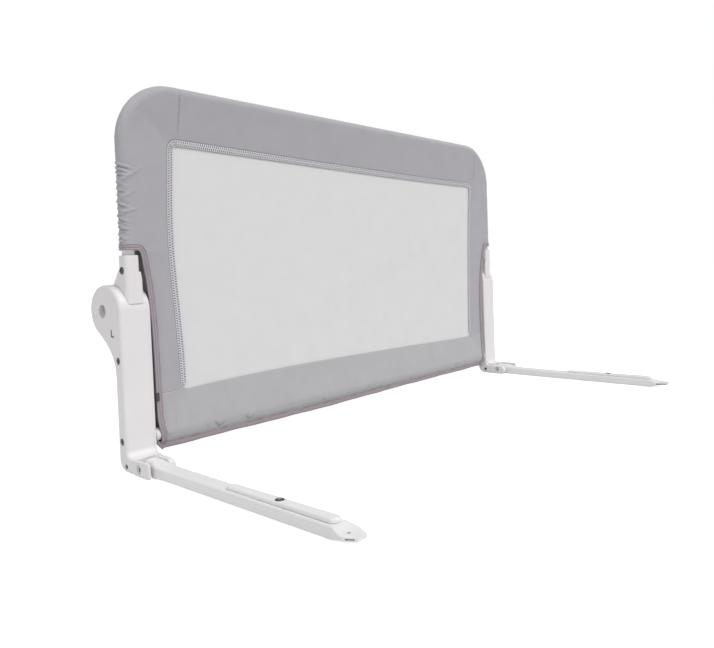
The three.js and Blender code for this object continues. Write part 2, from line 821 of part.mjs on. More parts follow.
function crossbar() {
  const radius = crossbarWidth / 2;
  const reach = crossbarLength / 2 - radius;
  const shape = new THREE.Shape();
  shape.absarc(tubeInset, reach - crossbarPlace, radius, 0, Math.PI, false);
  shape.absarc(tubeInset, -reach - crossbarPlace, radius, Math.PI, 2 * Math.PI, false);
  const bar = floorPlate(shape, crossbarFoot, crossbarTop, crossbarEdge, cornerSteps + 1);
  const top = crossbarTop + overrun;
  return cut(
    bar,
    rod('z', pinRadius + seatGap, 0, top, tubeInset, -crossbarPlace, smallSides),
    rod('z', pinHeadRadius + seatGap, crossbarTop - pinRecess, top, tubeInset, -crossbarPlace, smallSides),
  );
}

function crossbarRivet() {
  const ceiling = armTopAt(crossbarPlace) - armWall - seatGap;
  const seat = crossbarTop - pinRecess + seatGap;
  const top = seat + pinHeadLength;
  const profile = [
    [0, ceiling - pinFlareLength],
    [pinFlareRadius, ceiling - pinFlareLength],
    [pinFlareRadius, ceiling],
    [pinRadius, ceiling],
    [pinRadius, seat],
    [pinHeadRadius, seat],
    [pinHeadRadius, seat + pinHeadLength / 2],
    [pinHeadRadius - pinHeadLength / 2, top],
    [0, top],
  ];
  return turned('z', profile, tubeInset, -crossbarPlace, smallSides);
}

function crossbarWasher() {
  const top = washerFoot + washerThickness;
  const bore = pinRadius + seatGap;
  const profile = [
    [bore, washerFoot],
    [washerRadius, washerFoot],
    [washerRadius, top],
    [bore, top],
    [bore, washerFoot],
  ];
  return turned('z', profile, tubeInset, -crossbarPlace, smallSides);
}

// Cover

const sheetFront = tubeDepth - sheetThickness / 2;
const sheetBack = tubeDepth + sheetThickness / 2;

// Side of the cover above the bend: sleeve, corner and the flat fabric inside them
function coverSide() {
  const end = seamInset - seatGap / 2;
  const foot = splitHeight + seatGap / 2;
  const shape = new THREE.Shape();
  shape.moveTo(tubeInset, coverFoot);
  shape.lineTo(tubeInset + cutTopReach, coverFoot);
  shape.lineTo(tubeInset + cutKneeReach, coverFoot - cutKneeDrop);
  shape.lineTo(postWidth + waistGap, splitHeight + waistRise);
  shape.lineTo(postWidth + waistGap, foot);
  shape.lineTo(windowInset, foot);
  shape.lineTo(windowInset, windowTop);
  shape.lineTo(end, windowTop);
  shape.lineTo(end, tubeTop);
  shape.lineTo(cornerEnd, tubeTop);
  shape.absarc(cornerEnd, tubeTop - tubeBend, tubeBend, Math.PI / 2, Math.PI, false);
  const sheet = frontPlate(shape, sheetFront, sheetBack);
  const sleeve = cornerRun(sleeveRadius, coverFoot, end);
  return cut(joined(sheet, sleeve), cornerRun(tubeRadius + seatGap, coverFoot - overrun, end + overrun));
}

// A flat band with a sleeve along x: the top piece and the bottom piece are both made so
function sleevedBand(from, to, foot, top, sleeveHeight) {
  const band = block(from, to, sheetFront, sheetBack, foot, top);
  const sleeve = rod('x', sleeveRadius, from, to, tubeDepth, sleeveHeight);
  const bore = rod('x', tubeRadius + seatGap, from - overrun, to + overrun, tubeDepth, sleeveHeight);
  return joined(band, sleeve).subtract(bore);
}

function coverTop() {
  const from = seamInset + seatGap / 2;
  return sleevedBand(from, railLength - from, windowTop, tubeTop, tubeTop);
}

function coverBottom() {
  return sleevedBand(lowerEdge, railLength - lowerEdge, hemHeight, sillHeight, barHeight);
}

function coverLowerSide() {
  const top = splitHeight - seatGap / 2;
  return block(lowerEdge, windowInset, sheetFront, sheetBack, sillHeight + seatGap, top);
}

function net(foot, top) {
  const from = windowInset + seatGap;
  const half = netThickness / 2;
  return block(from, railLength - from, tubeDepth - half, tubeDepth + half, foot, top);
}

// Finishes

const finish = (color, roughness, metalness) =>
  new THREE.MeshStandardMaterial({ color, roughness, metalness });
const finishes = {
  plastic: finish('#e6e4e3', 0.45, 0),
  powderCoat: finish('#ebeaea', 0.4, 0.1),
  zinc: finish('#b9bbbd', 0.35, 0.9),
  blackSteel: finish('#3c3b40', 0.45, 0.8),
  cloth: finish('#a7a6a9', 0.9, 0),
  bandCloth: finish('#b5b4b6', 0.9, 0),
  netCloth: finish('#dadada', 0.85, 0),
};

// Assembly

// The same body seen in a mirror across the YZ plane
function mirrored(solid) {
  const geometry = geometryOf(solid);
  geometry.scale(-1, 1, 1);
  return solidOf(geometry);
}

function geometryOf(solid) {
  const { vertProperties, triVerts } = solid.getMesh();
  const geometry = new THREE.BufferGeometry();
  geometry.setAttribute('position', new THREE.Float32BufferAttribute(vertProperties, 3));
  geometry.setIndex(Array.from(triVerts));
  return geometry;
}

function addPiece(group, name, solid, material) {
  const geometry = geometryOf(solid);
  geometry.computeVertexNormals();
  const mesh = new THREE.Mesh(geometry, material);
  mesh.name = name;
  group.add(mesh);
}

// Pieces that each side has, drawn for the left
const sidePieces = {
  post_outer_shell: [outerShell(), finishes.plastic],
  post_inner_shell: [innerShell(), finishes.plastic],
  post_core: [postCore(), finishes.zinc],
  pivot_bolt: [pivotBolt(), finishes.zinc],
  pivot_nut: [pivotNut(), finishes.zinc],
  post_screw: [
    screw(screwRecess, partingLine + lidPilotDepth - seatGap, upperScrewHeight),
    finishes.blackSteel,
  ],
  bar_screw: [screw(screwRecess, postWidth + plugPilotDepth, barHeight), finishes.blackSteel],
  heel_rivet: [
    rivet(heelRivetRadius, heelRivetHeadRadius, heelRivetDepth, heelRivetHeight, smallSides),
    finishes.blackSteel,
  ],
  arm_rivet: [rivet(armRivetRadius, armRivetHeadRadius, -armPivotReach, armPivotHeight), finishes.zinc],
  bar_plug: [barPlug(), finishes.plastic],
  hinge_bracket: [hingeBracket(), finishes.plastic],
  bracket_screw: [screw(bracketScrewSeat, tubeInset, bracketScrewHeight), finishes.blackSteel],
  corner_tube: [cornerTube(), finishes.powderCoat],
  snap_button: [snapButton(), finishes.zinc],
  arm_tube: [armTube(), finishes.powderCoat],
  crossbar: [crossbar(), finishes.powderCoat],
  crossbar_rivet: [crossbarRivet(), finishes.blackSteel],
  crossbar_washer: [crossbarWasher(), finishes.zinc],
  cover_side: [coverSide(), finishes.cloth],
  cover_lower_side: [coverLowerSide(), finishes.cloth],
};

// Pieces that run from side to side
const middlePieces = {
  top_tube: [topTube(), finishes.powderCoat],
  bottom_bar: [bottomBar(), finishes.powderCoat],
  cover_top: [coverTop(), finishes.cloth],
  cover_bottom: [coverBottom(), finishes.bandCloth],
  net_upper: [net(splitHeight + seatGap / 2, windowTop - seatGap), finishes.netCloth],
  net_lower: [net(sillHeight + seatGap, splitHeight - seatGap / 2), finishes.netCloth],
};

const leftUnit = new THREE.Group();
const rightUnit = new THREE.Group();
const span = new THREE.Group();
for (const [name, [solid, material]] of Object.entries(sidePieces)) {
  addPiece(leftUnit, `left_${name}`, solid, material);
  addPiece(rightUnit, `right_${name}`, mirrored(solid), material);
}
for (const [name, [solid, material]] of Object.entries(middlePieces)) {
  addPiece(span, name, solid, material);
}
leftUnit.position.set(-railLength / 2, middle, 0);
rightUnit.position.set(railLength / 2, middle, 0);
span.position.set(-railLength / 2, middle, 0);

const rail = new THREE.Group();
rail.name = 'bed_guard_rail';
rail.add(leftUnit, rightUnit, span);

export default rail;
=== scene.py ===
# %% [markdown]
# # A folding bed guard rail
#
# The real piece stops a sleeping child from rolling out of bed. A cloth panel with a mesh window is held by
# a bent steel tube. The tube stands in two moulded hinges, and two flat arms reach from their feet under
# the mattress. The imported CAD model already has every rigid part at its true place, so it is loaded first
# and never moved. This lesson dresses it: smooth mouldings, pressed steel, sewn cloth, and the light to see
# them by. Each step first says how the real piece is made, because the maker's own way is often the easiest
# mesh as well.

import json
import math
import random

import bmesh
import bpy
from mathutils import Color, Matrix, Vector
from mathutils.geometry import interpolate_bezier


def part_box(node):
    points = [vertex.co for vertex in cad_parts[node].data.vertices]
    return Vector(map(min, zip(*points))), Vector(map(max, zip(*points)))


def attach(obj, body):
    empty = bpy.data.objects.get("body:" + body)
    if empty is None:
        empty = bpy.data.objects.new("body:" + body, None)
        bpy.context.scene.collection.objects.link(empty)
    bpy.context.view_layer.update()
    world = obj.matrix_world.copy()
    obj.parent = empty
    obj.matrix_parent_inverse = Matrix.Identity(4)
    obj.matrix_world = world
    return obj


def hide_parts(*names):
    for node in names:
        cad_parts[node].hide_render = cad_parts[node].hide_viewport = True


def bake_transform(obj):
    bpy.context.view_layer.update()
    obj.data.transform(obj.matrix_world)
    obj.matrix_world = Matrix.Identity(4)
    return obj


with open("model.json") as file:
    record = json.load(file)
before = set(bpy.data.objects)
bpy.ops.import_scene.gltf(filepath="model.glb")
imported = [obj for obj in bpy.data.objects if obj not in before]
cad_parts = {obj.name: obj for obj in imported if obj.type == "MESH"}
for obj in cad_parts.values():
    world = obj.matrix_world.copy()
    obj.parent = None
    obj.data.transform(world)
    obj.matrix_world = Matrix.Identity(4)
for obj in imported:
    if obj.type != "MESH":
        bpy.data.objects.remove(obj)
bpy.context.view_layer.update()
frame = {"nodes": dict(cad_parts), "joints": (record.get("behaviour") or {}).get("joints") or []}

# %% [markdown]
# ## One ruler for both sides
# The left and right units are mirror images, so everything is drawn once, for the left. Its ruler is in
# millimetres: x inwards from the outer face of the post, y back from the front of the post, z up from the
# floor. The outer face and the hinge axis come from the frame, and one matrix takes the ruler to metres.

# %% The ruler
mm = 0.001
joints = {joint["name"]: joint for joint in frame["joints"]}
hinge_depth = 45
_, hinge_y, hinge_z = joints["panel_fold"]["pos_m"]
outer_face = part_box("left_post_outer_shell")[0].x
post_front = hinge_y - hinge_depth * mm
rail_length = -2 * outer_face / mm
to_world = Matrix.Translation((outer_face, post_front, 0)) @ Matrix.Scale(mm, 4)
to_right = Matrix.Scale(-1, 4, (1, 0, 0))


def high(node):
    """Highest corner of a CAD node, read on the ruler"""
    return to_world.inverted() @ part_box(node)[1]


def low(node):
    return to_world.inverted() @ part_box(node)[0]


print("rail length", round(rail_length, 2), "mm, post front at y =", round(post_front, 4), "m")

# %% [markdown]
# ## Sizes of the parts
# A few driving sizes are written once. The rest are worked out from them or read from the boxes of the CAD
# nodes, so that a change in the CAD source reaches this script as well.

# %% Post and hinge sizes
post_width = 43
post_depth = 20
parting_line = high("left_post_outer_shell").x
hinge_height = hinge_z / mm
disc_radius = 33
disc_top = hinge_height + disc_radius
shoulder_radius = 34
flank_angle = -57
waist_height = hinge_height - 84
waist_pull = 28
boot_reach = 50
boot_height = 19.5
lid_reach = 43.5
lid_boot_height = 16.5
heel_radius = 15
instep_radius = 8
outer_rim = 5
toe_rim = 2
inner_rim = 3
seat_gap = 0.3
swing_gap = 0.4
overrun = 6
outer_cheek = 16.6
tongue_start = outer_cheek + swing_gap
tongue_width = 16.7
inner_cheek = outer_cheek + tongue_width + 2 * swing_gap
ledge_height = hinge_height + 9
eye_radius = disc_radius - 4
slot_radius = eye_radius + 2 * swing_gap
web_end = -94

# %% Tube, arm and bar sizes
tube_radius = 8
tube_wall = 1.4
tube_inset = 21.4
tube_depth = post_depth / 2
tube_bend = 70
tube_top = high("top_tube").z - tube_radius
tube_foot = low("left_corner_tube").z
tube_end = high("left_corner_tube").x
bend_end = tube_inset + tube_bend
bar_height = (low("bottom_bar").z + high("bottom_bar").z) / 2
arm_pivot_reach = 27.5
arm_root_height = boot_height
arm_pivot_height = arm_root_height / 2
arm_reach = -low("left_arm_tube").y
arm_stock = 20
fork_radius = arm_root_height / 2 + swing_gap
fork_half_width = (arm_root_height + math.pi * (arm_stock - arm_root_height) / 2) / 2 + swing_gap
crossbar_reach = -(low("left_crossbar").y + high("left_crossbar").y) / 2
crossbar_foot = low("left_crossbar").z
crossbar_top = high("left_crossbar").z
print(f"hinge height {hinge_height:.2f}, tube top {tube_top:.2f}, arm reach {arm_reach:.2f} mm")

# %% [markdown]
# ## A small workshop
# Most hard parts of this rail are moulded or stamped, and both begin as an outline. So does this workshop:
# an outline becomes a face, the face is pushed out to a thickness, and its rims are rounded with a bevel.
# Turned parts such as screws are a profile spun about an axis. Recesses are cut with a boolean afterwards,
# because a cut through a finished rim leaves a crisp edge, as a core pin leaves in a real mould.

# %% Outlines
def arc(centre, radius, start, end, step=7.5):
    """Points on an arc, with angles in degrees: anticlockwise where end is the larger"""
    count = max(2, math.ceil(abs(end - start) / step))
    angles = [math.radians(start + (end - start) * i / count) for i in range(count + 1)]
    return [(centre[0] + radius * math.cos(a), centre[1] + radius * math.sin(a)) for a in angles]


def rounded(x0, x1, y0, y1, radius, step=15):
    """A rectangle with round corners"""
    return [
        *arc((x1 - radius, y0 + radius), radius, -90, 0, step),
        *arc((x1 - radius, y1 - radius), radius, 0, 90, step),
        *arc((x0 + radius, y1 - radius), radius, 90, 180, step),
        *arc((x0 + radius, y0 + radius), radius, 180, 270, step),
    ]


def side_view(y, z):
    return Vector((0, y, z))


def front_view(x, z):
    return Vector((x, 0, z))


def plan_view(x, y):
    return Vector((x, y, 0))


# %% Slabs, turned bodies and cuts
def slab(outline, view, start, end, rims=(0, 0), segments=5):
    """An outline pushed out from start to end along the axis that its view looks down, with rounded rims"""
    bm = bmesh.new()
    axis = (side_view, front_view, plan_view).index(view)
    along = Vector([float(i == axis) for i in range(3)])
    face = bm.faces.new([bm.verts.new(view(*point) + start * along) for point in outline])
    pushed = bmesh.ops.extrude_face_region(bm, geom=[face])["geom"]
    moved = [part for part in pushed if isinstance(part, bmesh.types.BMVert)]
    bmesh.ops.translate(bm, verts=moved, vec=(end - start) * along)
    bmesh.ops.recalc_face_normals(bm, faces=bm.faces)
    for place, radius in zip((start, end), rims):
        if radius:
            rim = [e for e in bm.edges if all(abs(v.co[axis] - place) < 1e-4 for v in e.verts)]
            bmesh.ops.bevel(bm, geom=rim, offset=radius, offset_type="OFFSET", segments=segments, profile=0.5,
                            affect="EDGES", clamp_overlap=False, material=-1)
    return bm


def turned(profile, axis, centre, sides=48):
    """A profile of radius and place, spun a full turn about the named axis through centre"""
    bm = bmesh.new()
    points = [bm.verts.new((radius, 0, place)) for radius, place in profile]
    chain = [bm.edges.new(pair) for pair in zip(points, points[1:])]
    bmesh.ops.spin(bm, geom=points + chain, cent=(0, 0, 0), axis=(0, 0, 1), angle=2 * math.pi,
                   steps=sides, use_merge=True)
    bmesh.ops.remove_doubles(bm, verts=bm.verts, dist=1e-4)
    upright = {"x": Matrix.Rotation(math.pi / 2, 4, "Y"), "y": Matrix.Rotation(-math.pi / 2, 4, "X")}
    bmesh.ops.transform(bm, matrix=Matrix.Translation(centre) @ upright.get(axis, Matrix()), verts=bm.verts)
    bmesh.ops.recalc_face_normals(bm, faces=bm.faces)
    return bm


def rod(axis, centre, radius, start, end, sides=48):
    """A plain cylinder along the named axis"""
    return turned([(0, start), (radius, start), (radius, end), (0, end)], axis, centre, sides)


def mesh_of(bm, name="blank"):
    mesh = bpy.data.meshes.new(name)
    bm.to_mesh(mesh)
    bm.free()
    return mesh


def finished_mesh(thing):
    """What a text, a curve or an object with modifiers looks like in the end, as a plain mesh"""
    bpy.context.view_layer.update()
    return bpy.data.meshes.new_from_object(thing.evaluated_get(bpy.context.evaluated_depsgraph_get()))


def worked(body, *steps):
    """A body cut by, joined with or kept inside other bodies: each step is an operation and a bmesh"""
    blank = bpy.data.objects.new("blank", mesh_of(body))
    bpy.context.collection.objects.link(blank)
    tools = []
    for operation, tool_body in steps:
        tool = bpy.data.objects.new("tool", mesh_of(tool_body))
        bpy.context.collection.objects.link(tool)
        step = blank.modifiers.new(operation, "BOOLEAN")
        step.operation = operation
        step.solver = "EXACT"
        step.use_hole_tolerant = True
        step.object = tool
        tools.append(tool)
    done = finished_mesh(blank)
    for scrap in [blank, *tools]:
        bpy.data.objects.remove(scrap)
    bm = bmesh.new()
    bm.from_mesh(done)
    bmesh.ops.remove_doubles(bm, verts=bm.verts, dist=1e-4)
    bpy.data.meshes.remove(done)
    return bm


def cut(body, *tools):
    return worked(body, *[("DIFFERENCE", tool) for tool in tools])


def join(body, *others):
    return worked(body, *[("UNION", other) for other in others])


def keep(body, room):
    return worked(body, ("INTERSECT", room))


def pin_hole(axis, centre, radius, mouth, depth, bore, far, lip=0.7, way=1):
    """A cutter for a recess with a soft lip: open at mouth, depth deep along way, then a bore up to far"""
    turn = arc((radius + lip, mouth + way * lip), lip, 180, 180 + way * 90, 15)
    seat = mouth + way * depth
    profile = [(0, far), (bore, far), (bore, seat), (radius, seat), *turn]
    profile += [(radius + lip, mouth - way * overrun), (0, mouth - way * overrun)]
    return turned(profile, axis, centre)


# %% [markdown]
# ## Finished pieces
# A finished mesh goes to its place in metres, and its object stays at the origin, as a CAD node's does.
# Sharp edges are marked by angle, and a Weighted Normal modifier keeps the large flat faces flat in the
# light while the small bevel faces turn the corner. The right-hand piece is the left one mirrored, with its
# faces turned out again.

# %% Fitting pieces to the frame
def piece_of(mesh, name, material, nodes, crease):
    """An object with its finish, its sharp edges and the CAD nodes that it stands for"""
    piece = bpy.data.objects.new(name, mesh)
    bpy.context.collection.objects.link(piece)
    mesh.materials.append(material)
    mesh.shade_smooth()
    mesh.set_sharp_from_angle(angle=math.radians(crease))
    if nodes:
        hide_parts(*nodes)
    return piece


def hard_piece(mesh, name, body, material, nodes=(), crease=32):
    piece = piece_of(mesh, name, material, nodes, crease)
    even_shading = piece.modifiers.new("even shading", "WEIGHTED_NORMAL")
    even_shading.keep_sharp = True
    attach(piece, body)
    return piece


def both_sides(bm, name, body, material, node=None, crease=32):
    """Fits a body drawn for the left on both sides; body may hold {side}"""
    left = mesh_of(bm, name)
    left.transform(to_world)
    right = left.copy()
    right.transform(to_right)
    right.flip_normals()
    made = []
    for side, mesh in (("left", left), ("right", right)):
        nodes = [f"{side}_{node}"] if node else []
        made.append(hard_piece(mesh, f"{side}_{name}", body.format(side=side), material, nodes, crease))
    print(name, len(left.polygons), "faces a side")
    return made


# %% [markdown]
# ## Finishes
# Every finish starts from the Principled shader with its colour set on the shader itself. Small nodes then
# add what the eye expects up close: the fine grain that spark erosion leaves on a mould, the orange peel of
# powder coat, the turning marks on zinc, the threads of a plain weave. Patterns read the object's own
# coordinates in metres, or on cloth a UV map in metres, so that a thread has its real size everywhere. The
# cloth also reads how low each narrow valley lies and darkens its colour there: this is painted shade, for
# the little light that reaches into a pucker.

# %% Node helpers
def tone(red, green, blue):
    """A paint chip's 0 to 255 values as the linear colour that Blender counts in"""
    return (*Color((red / 255, green / 255, blue / 255)).from_srgb_to_scene_linear(), 1)


def finish_of(name, colour, roughness, **sockets):
    material = bpy.data.materials.new(name)
    material.use_nodes = True
    shader = material.node_tree.nodes["Principled BSDF"]
    shader.inputs["Base Color"].default_value = colour
    shader.inputs["Roughness"].default_value = roughness
    for socket, value in sockets.items():
        shader.inputs[socket.replace("_", " ")].default_value = value
    return material


def node(material, kind, inputs=(), **settings):
    """A node with its settings, and its inputs by name or number, each a value or another node's output"""
    tree = material.node_tree
    made = tree.nodes.new("ShaderNode" + kind)
    for setting, value in settings.items():
        setattr(made, setting, value)
    for key, value in dict(inputs).items():
        if isinstance(value, bpy.types.NodeSocket):
            tree.links.new(value, made.inputs[key])
        else:
            made.inputs[key].default_value = value
    return made


def sums(material, operation, first, second=0.0):
    return node(material, "Math", {0: first, 1: second}, operation=operation).outputs[0]


def spot(material, map_name=None):
    """The place on the piece that a pattern reads: its own coordinates, or a UV map"""
    if map_name:
        return node(material, "UVMap", uv_map=map_name).outputs["UV"]
    return node(material, "TexCoord").outputs["Object"]


def noise(material, place, scale, detail=2.0, stretch=(1, 1, 1)):
    stretched = node(material, "Mapping", {"Vector": place, "Scale": stretch}).outputs[0]
    return node(material, "TexNoise", {"Vector": stretched, "Scale": scale, "Detail": detail}).outputs[0]


def tint(material, share, dark, light):
    """Colours the piece between two tones"""
    mixed = node(material, "Mix", {0: share, 6: dark, 7: light}, data_type="RGBA").outputs[2]
    shader = material.node_tree.nodes["Principled BSDF"]
    material.node_tree.links.new(mixed, shader.inputs["Base Color"])
    return mixed


def emboss(material, height, depth, strength=1.0, under=None):
    """Bump of that depth in metres, over another bump where one is given"""
    inputs = {"Height": height, "Distance": depth, "Strength": strength}
    if under is not None:
        inputs["Normal"] = under
    bump = node(material, "Bump", inputs).outputs[0]
    material.node_tree.links.new(bump, material.node_tree.nodes["Principled BSDF"].inputs["Normal"])
    return bump


# %% Moulded plastic, powder coat and metals
def hard_finish(name, colour, roughness, patches, dark, light, grain, **sockets):
    """patches: scale and detail of the tint; grain: scale, detail, depth in metres, strength of the bump"""
    material = finish_of(name, tone(*colour), roughness, **sockets)
    place = spot(material)
    tint(material, noise(material, place, *patches), tone(*dark), tone(*light))
    scale, detail, depth, strength = grain
    emboss(material, noise(material, place, scale, detail), depth, strength)
    return material


plastic = hard_finish("moulded_plastic", (226, 224, 224), 0.42, (14, 3), (223, 220, 220), (229, 227, 228),
                      (1900, 2, 0.00006, 0.35), IOR=1.46)
coat = hard_finish("powder_coat", (230, 229, 230), 0.36, (10, 2), (227, 226, 227), (233, 232, 233),
                   (650, 1, 0.0001, 0.3), Coat_Weight=0.15, Coat_Roughness=0.25)
zinc = hard_finish("bright_zinc", (186, 187, 188), 0.3, (260, 3), (168, 170, 172), (198, 199, 200),
                   (2600, 2, 0.00004, 0.4), Metallic=1.0)
black = hard_finish("black_steel", (84, 84, 90), 0.42, (500, 3), (70, 70, 76), (104, 104, 110),
                    (2200, 2, 0.00004, 0.5), Metallic=0.85)

# A moulding also sinks a little over its ribs, in broad shallow waves.
fine_grain = plastic.node_tree.nodes["Bump"].outputs[0]
emboss(plastic, noise(plastic, spot(plastic), 90, 1), 0.0003, 0.12, fine_grain)

# %% Woven cloth, binding and mesh
def crossed_waves(material, place, pitch, row):
    """Waves along the cloth times waves across it: the height of a plain weave, or the gaps of a zigzag"""
    split = node(material, "SeparateXYZ", {0: place}).outputs
    along, across = (sums(material, "SINE", sums(material, "MULTIPLY", part, 2 * math.pi / length))
                     for part, length in zip(split, (pitch, row)))
    return sums(material, "MULTIPLY", along, across)


def woven(name, dark, light, pitch, roughness=0.85, sheen=0.25):
    material = finish_of(name, light, roughness, Sheen_Weight=sheen, Sheen_Roughness=0.4)
    place = spot(material, "cut")
    broad = noise(material, place, 28, 3)
    slub_one = noise(material, place, 900, 1, (0.06, 1, 1))
    slub_two = noise(material, place, 900, 1, (1, 0.06, 1))
    slubs = sums(material, "ADD", slub_one, slub_two)
    half_broad = sums(material, "MULTIPLY", broad, 0.5)
    share = sums(material, "ADD", half_broad, sums(material, "MULTIPLY", slubs, 0.25))
    even_tone = tint(material, share, dark, light)
    # Painted shade: where the folds leave a narrow valley, the valley attribute mixes the cloth toward a much
    # darker tone.
    valley = node(material, "Attribute", attribute_name="valley").outputs["Fac"]
    red, green, blue, _ = dark
    deep = (red * 0.3, green * 0.3, blue * 0.33, 1)
    tint(material, valley, even_tone, deep)
    weave = emboss(material, crossed_waves(material, place, pitch, pitch), 0.00012, 0.5)
    emboss(material, slubs, 0.0002, 0.25, weave)
    return material


def stitched(name, dark, light, pitch, row):
    """Overlocked edge: light thread with small gaps painted dark as shade between threads, in rows that take
    turns
    """
    material = finish_of(name, light, 0.8, Sheen_Weight=0.15, Sheen_Roughness=0.4)
    place = spot(material, "cut")
    # Painted shade: the gaps between the threads are darkened.
    gaps = sums(material, "SUBTRACT", crossed_waves(material, place, pitch, row), 0.12)
    tint(material, sums(material, "MULTIPLY", gaps, 2.6), light, dark)
    emboss(material, noise(material, place, 1500, 2), 0.0002, 0.4)
    return material


cloth = woven("grey_cloth", tone(164, 162, 167), tone(182, 180, 185), 0.0006)
band_cloth = woven("band_cloth", tone(167, 166, 169), tone(185, 184, 187), 0.0006)
binding_cloth = woven("binding_tape", tone(150, 142, 148), tone(176, 167, 174), 0.0009)
# The edging's dark tone is painted shade in the gaps between its threads.
edge_cloth = stitched("window_edging", tone(52, 48, 62), tone(214, 212, 217), 0.0034, 0.0082)
hem_cloth = woven("hem_tape", tone(146, 133, 139), tone(168, 154, 160), 0.0009)
thread = woven("sewing_thread", tone(222, 221, 225), tone(238, 237, 240), 0.0004, 0.6)
net_cloth = woven("mesh_window", tone(213, 213, 213), tone(226, 226, 226), 0.0011, 0.8, 0.1)

# %% [markdown]
# ## Post housing
# The post, the boot at its foot and the round hinge head are one moulding in two shells: a deep outer shell
# and a lid on the inside. Both follow one side view, so that outline is drawn once. It is all straight
# lines and arcs, apart from the flare behind the waist, which is a Bezier curve from the post's back into
# the disc.

# %% The side view of the housing
def housing_outline(reach=boot_reach, top=boot_height, toe_top=2.2, toe_foot=3.6):
    flank = math.radians(flank_angle)
    flank_y = hinge_depth + disc_radius * math.cos(flank)
    flank_z = hinge_height + disc_radius * math.sin(flank)
    flare = interpolate_bezier(
        Vector((post_depth, waist_height)),
        Vector((post_depth, waist_height + waist_pull)),
        Vector((flank_y + waist_pull * math.sin(flank), flank_z - waist_pull * math.cos(flank))),
        Vector((flank_y, flank_z)),
        14,
    )
    return [
        *arc((post_depth - heel_radius, heel_radius), heel_radius, -90, 0),
        *[tuple(point) for point in flare[:-1]],
        *arc((hinge_depth, hinge_height), disc_radius, flank_angle, 90, 5),
        *arc((shoulder_radius, disc_top - shoulder_radius), shoulder_radius, 90, 180, 5),
        *arc((-instep_radius, top + instep_radius), instep_radius, 0, -90, 10),
        *arc((toe_top - reach, top - toe_top), toe_top, 90, 180, 15),
        *arc((toe_foot - reach, toe_foot), toe_foot, 180, 270, 15),
    ]


def hinge_room(inset):
    """Side view of the room that the bracket's tongue turns in: all but a web at the front and below"""
    radius = slot_radius - inset
    foot = ledge_height + inset
    front = 180 - math.degrees(math.asin((foot - hinge_height) / radius))
    outside = 2 * (disc_radius + overrun)
    end = math.radians(web_end)
    far_z = hinge_height + outside * math.sin(end)
    return [
        (-overrun, foot),
        *arc((hinge_depth, hinge_height), radius, front, 360 + web_end, 5),
        (hinge_depth + outside * math.cos(end), far_z),
        (hinge_depth + outside, far_z),
        (hinge_depth + outside, disc_top + overrun),
        (-overrun, disc_top + overrun),
    ]


def fork_room(inset):
    """Side view of the room that the root of the arm turns in"""
    radius = fork_radius - inset
    return [
        (-boot_reach - overrun, -overrun),
        (-arm_pivot_reach, -overrun),
        *arc((-arm_pivot_reach, arm_pivot_height), radius, -90, 0),
        (radius - arm_pivot_reach, boot_height + overrun),
        (-boot_reach - overrun, boot_height + overrun),
    ]


print("housing outline", len(housing_outline()), "points")

# %% Places of the screws and rivets on the side view
upper_screw = (tube_depth, hinge_height - 62)
bar_screw = (tube_depth, bar_height)
arm_rivet = (-arm_pivot_reach, arm_pivot_height)
heel_rivet = (2, 8)
hinge_centre = (hinge_depth, hinge_height)
screw_head = 4.3
screw_bore = 2.4
screw_recess = 3
rivet_recess = 2
bolt_bore = 4.3
bolt_recess = 8.4
bolt_recess_depth = 7.6
nut_recess = 7.5
nut_recess_depth = 4.6
rivet_bore = 3.8
swivel_bore = 2.8
# radius, depth, bore
arm_rivet_recess = (5.3, rivet_recess, rivet_bore)
heel_rivet_recess = (3.1, rivet_recess, 1.9)


def head_recess(centre, radius, depth, bore, mouth=0, way=1, lip=0.35):
    """A recess in an outer face, with its bore through the rest of the post"""
    far = post_width + overrun if way == 1 else -overrun
    return pin_hole("x", (0, *centre), radius, mouth, depth, bore, far, lip, way)


# %% Outer shell
shell_wall = 2.6
cavity_foot = 24
cavity_top = hinge_height - 32
boss_radius = 7
arm_boss_radius = 6.2
fork_start = 3.2
toe_start = -19
toe_slant = 5
joint_rim = 0.12


def boss(centre, start, end, radius=boss_radius):
    return rod("x", (0, *centre), radius, start, end, 24)


def outer_shell():
    """The soft moulding joined to a toe with crisp corners, and hollowed for core, tongue and arm"""
    cavity_view = rounded(shell_wall, post_depth - shell_wall, cavity_foot, cavity_top, 2)
    cavity = cut(
        slab(cavity_view, side_view, shell_wall, parting_line + overrun),
        boss(upper_screw, 0, screw_recess + shell_wall),
        boss(bar_screw, 0, screw_recess + shell_wall),
    )
    soft_toe = outer_rim + 0.6  # the rim's bevel needs a corner rounder than itself
    soft_outline = housing_outline(boot_reach - 1, boot_height, soft_toe, soft_toe)
    shell = slab(soft_outline, side_view, 0, parting_line, (outer_rim, joint_rim), 6)
    crisp = slab(housing_outline(), side_view, 0, fork_start - 0.4, (toe_rim, 0), 4)
    toe_view = [(toe_start, -overrun), (toe_start + toe_slant, boot_height + overrun),
                (-boot_reach - overrun, boot_height + overrun), (-boot_reach - overrun, -overrun)]
    toe_room = slab(toe_view, side_view, -overrun, parting_line)
    fork_pocket = cut(
        slab(fork_room(0), side_view, fork_start, parting_line + overrun),
        boss(arm_rivet, 0, tube_inset - fork_half_width, arm_boss_radius),
    )
    return cut(
        join(shell, keep(crisp, toe_room)),
        cavity,
        slab(hinge_room(0), side_view, outer_cheek, parting_line + overrun),
        fork_pocket,
        head_recess(hinge_centre, bolt_recess, bolt_recess_depth, bolt_bore, lip=1.2),
        head_recess(upper_screw, screw_head + seat_gap, screw_recess, screw_bore),
        head_recess(bar_screw, screw_head + seat_gap, screw_recess, screw_bore),
        head_recess(arm_rivet, *arm_rivet_recess),
        head_recess(heel_rivet, *heel_rivet_recess),
    )


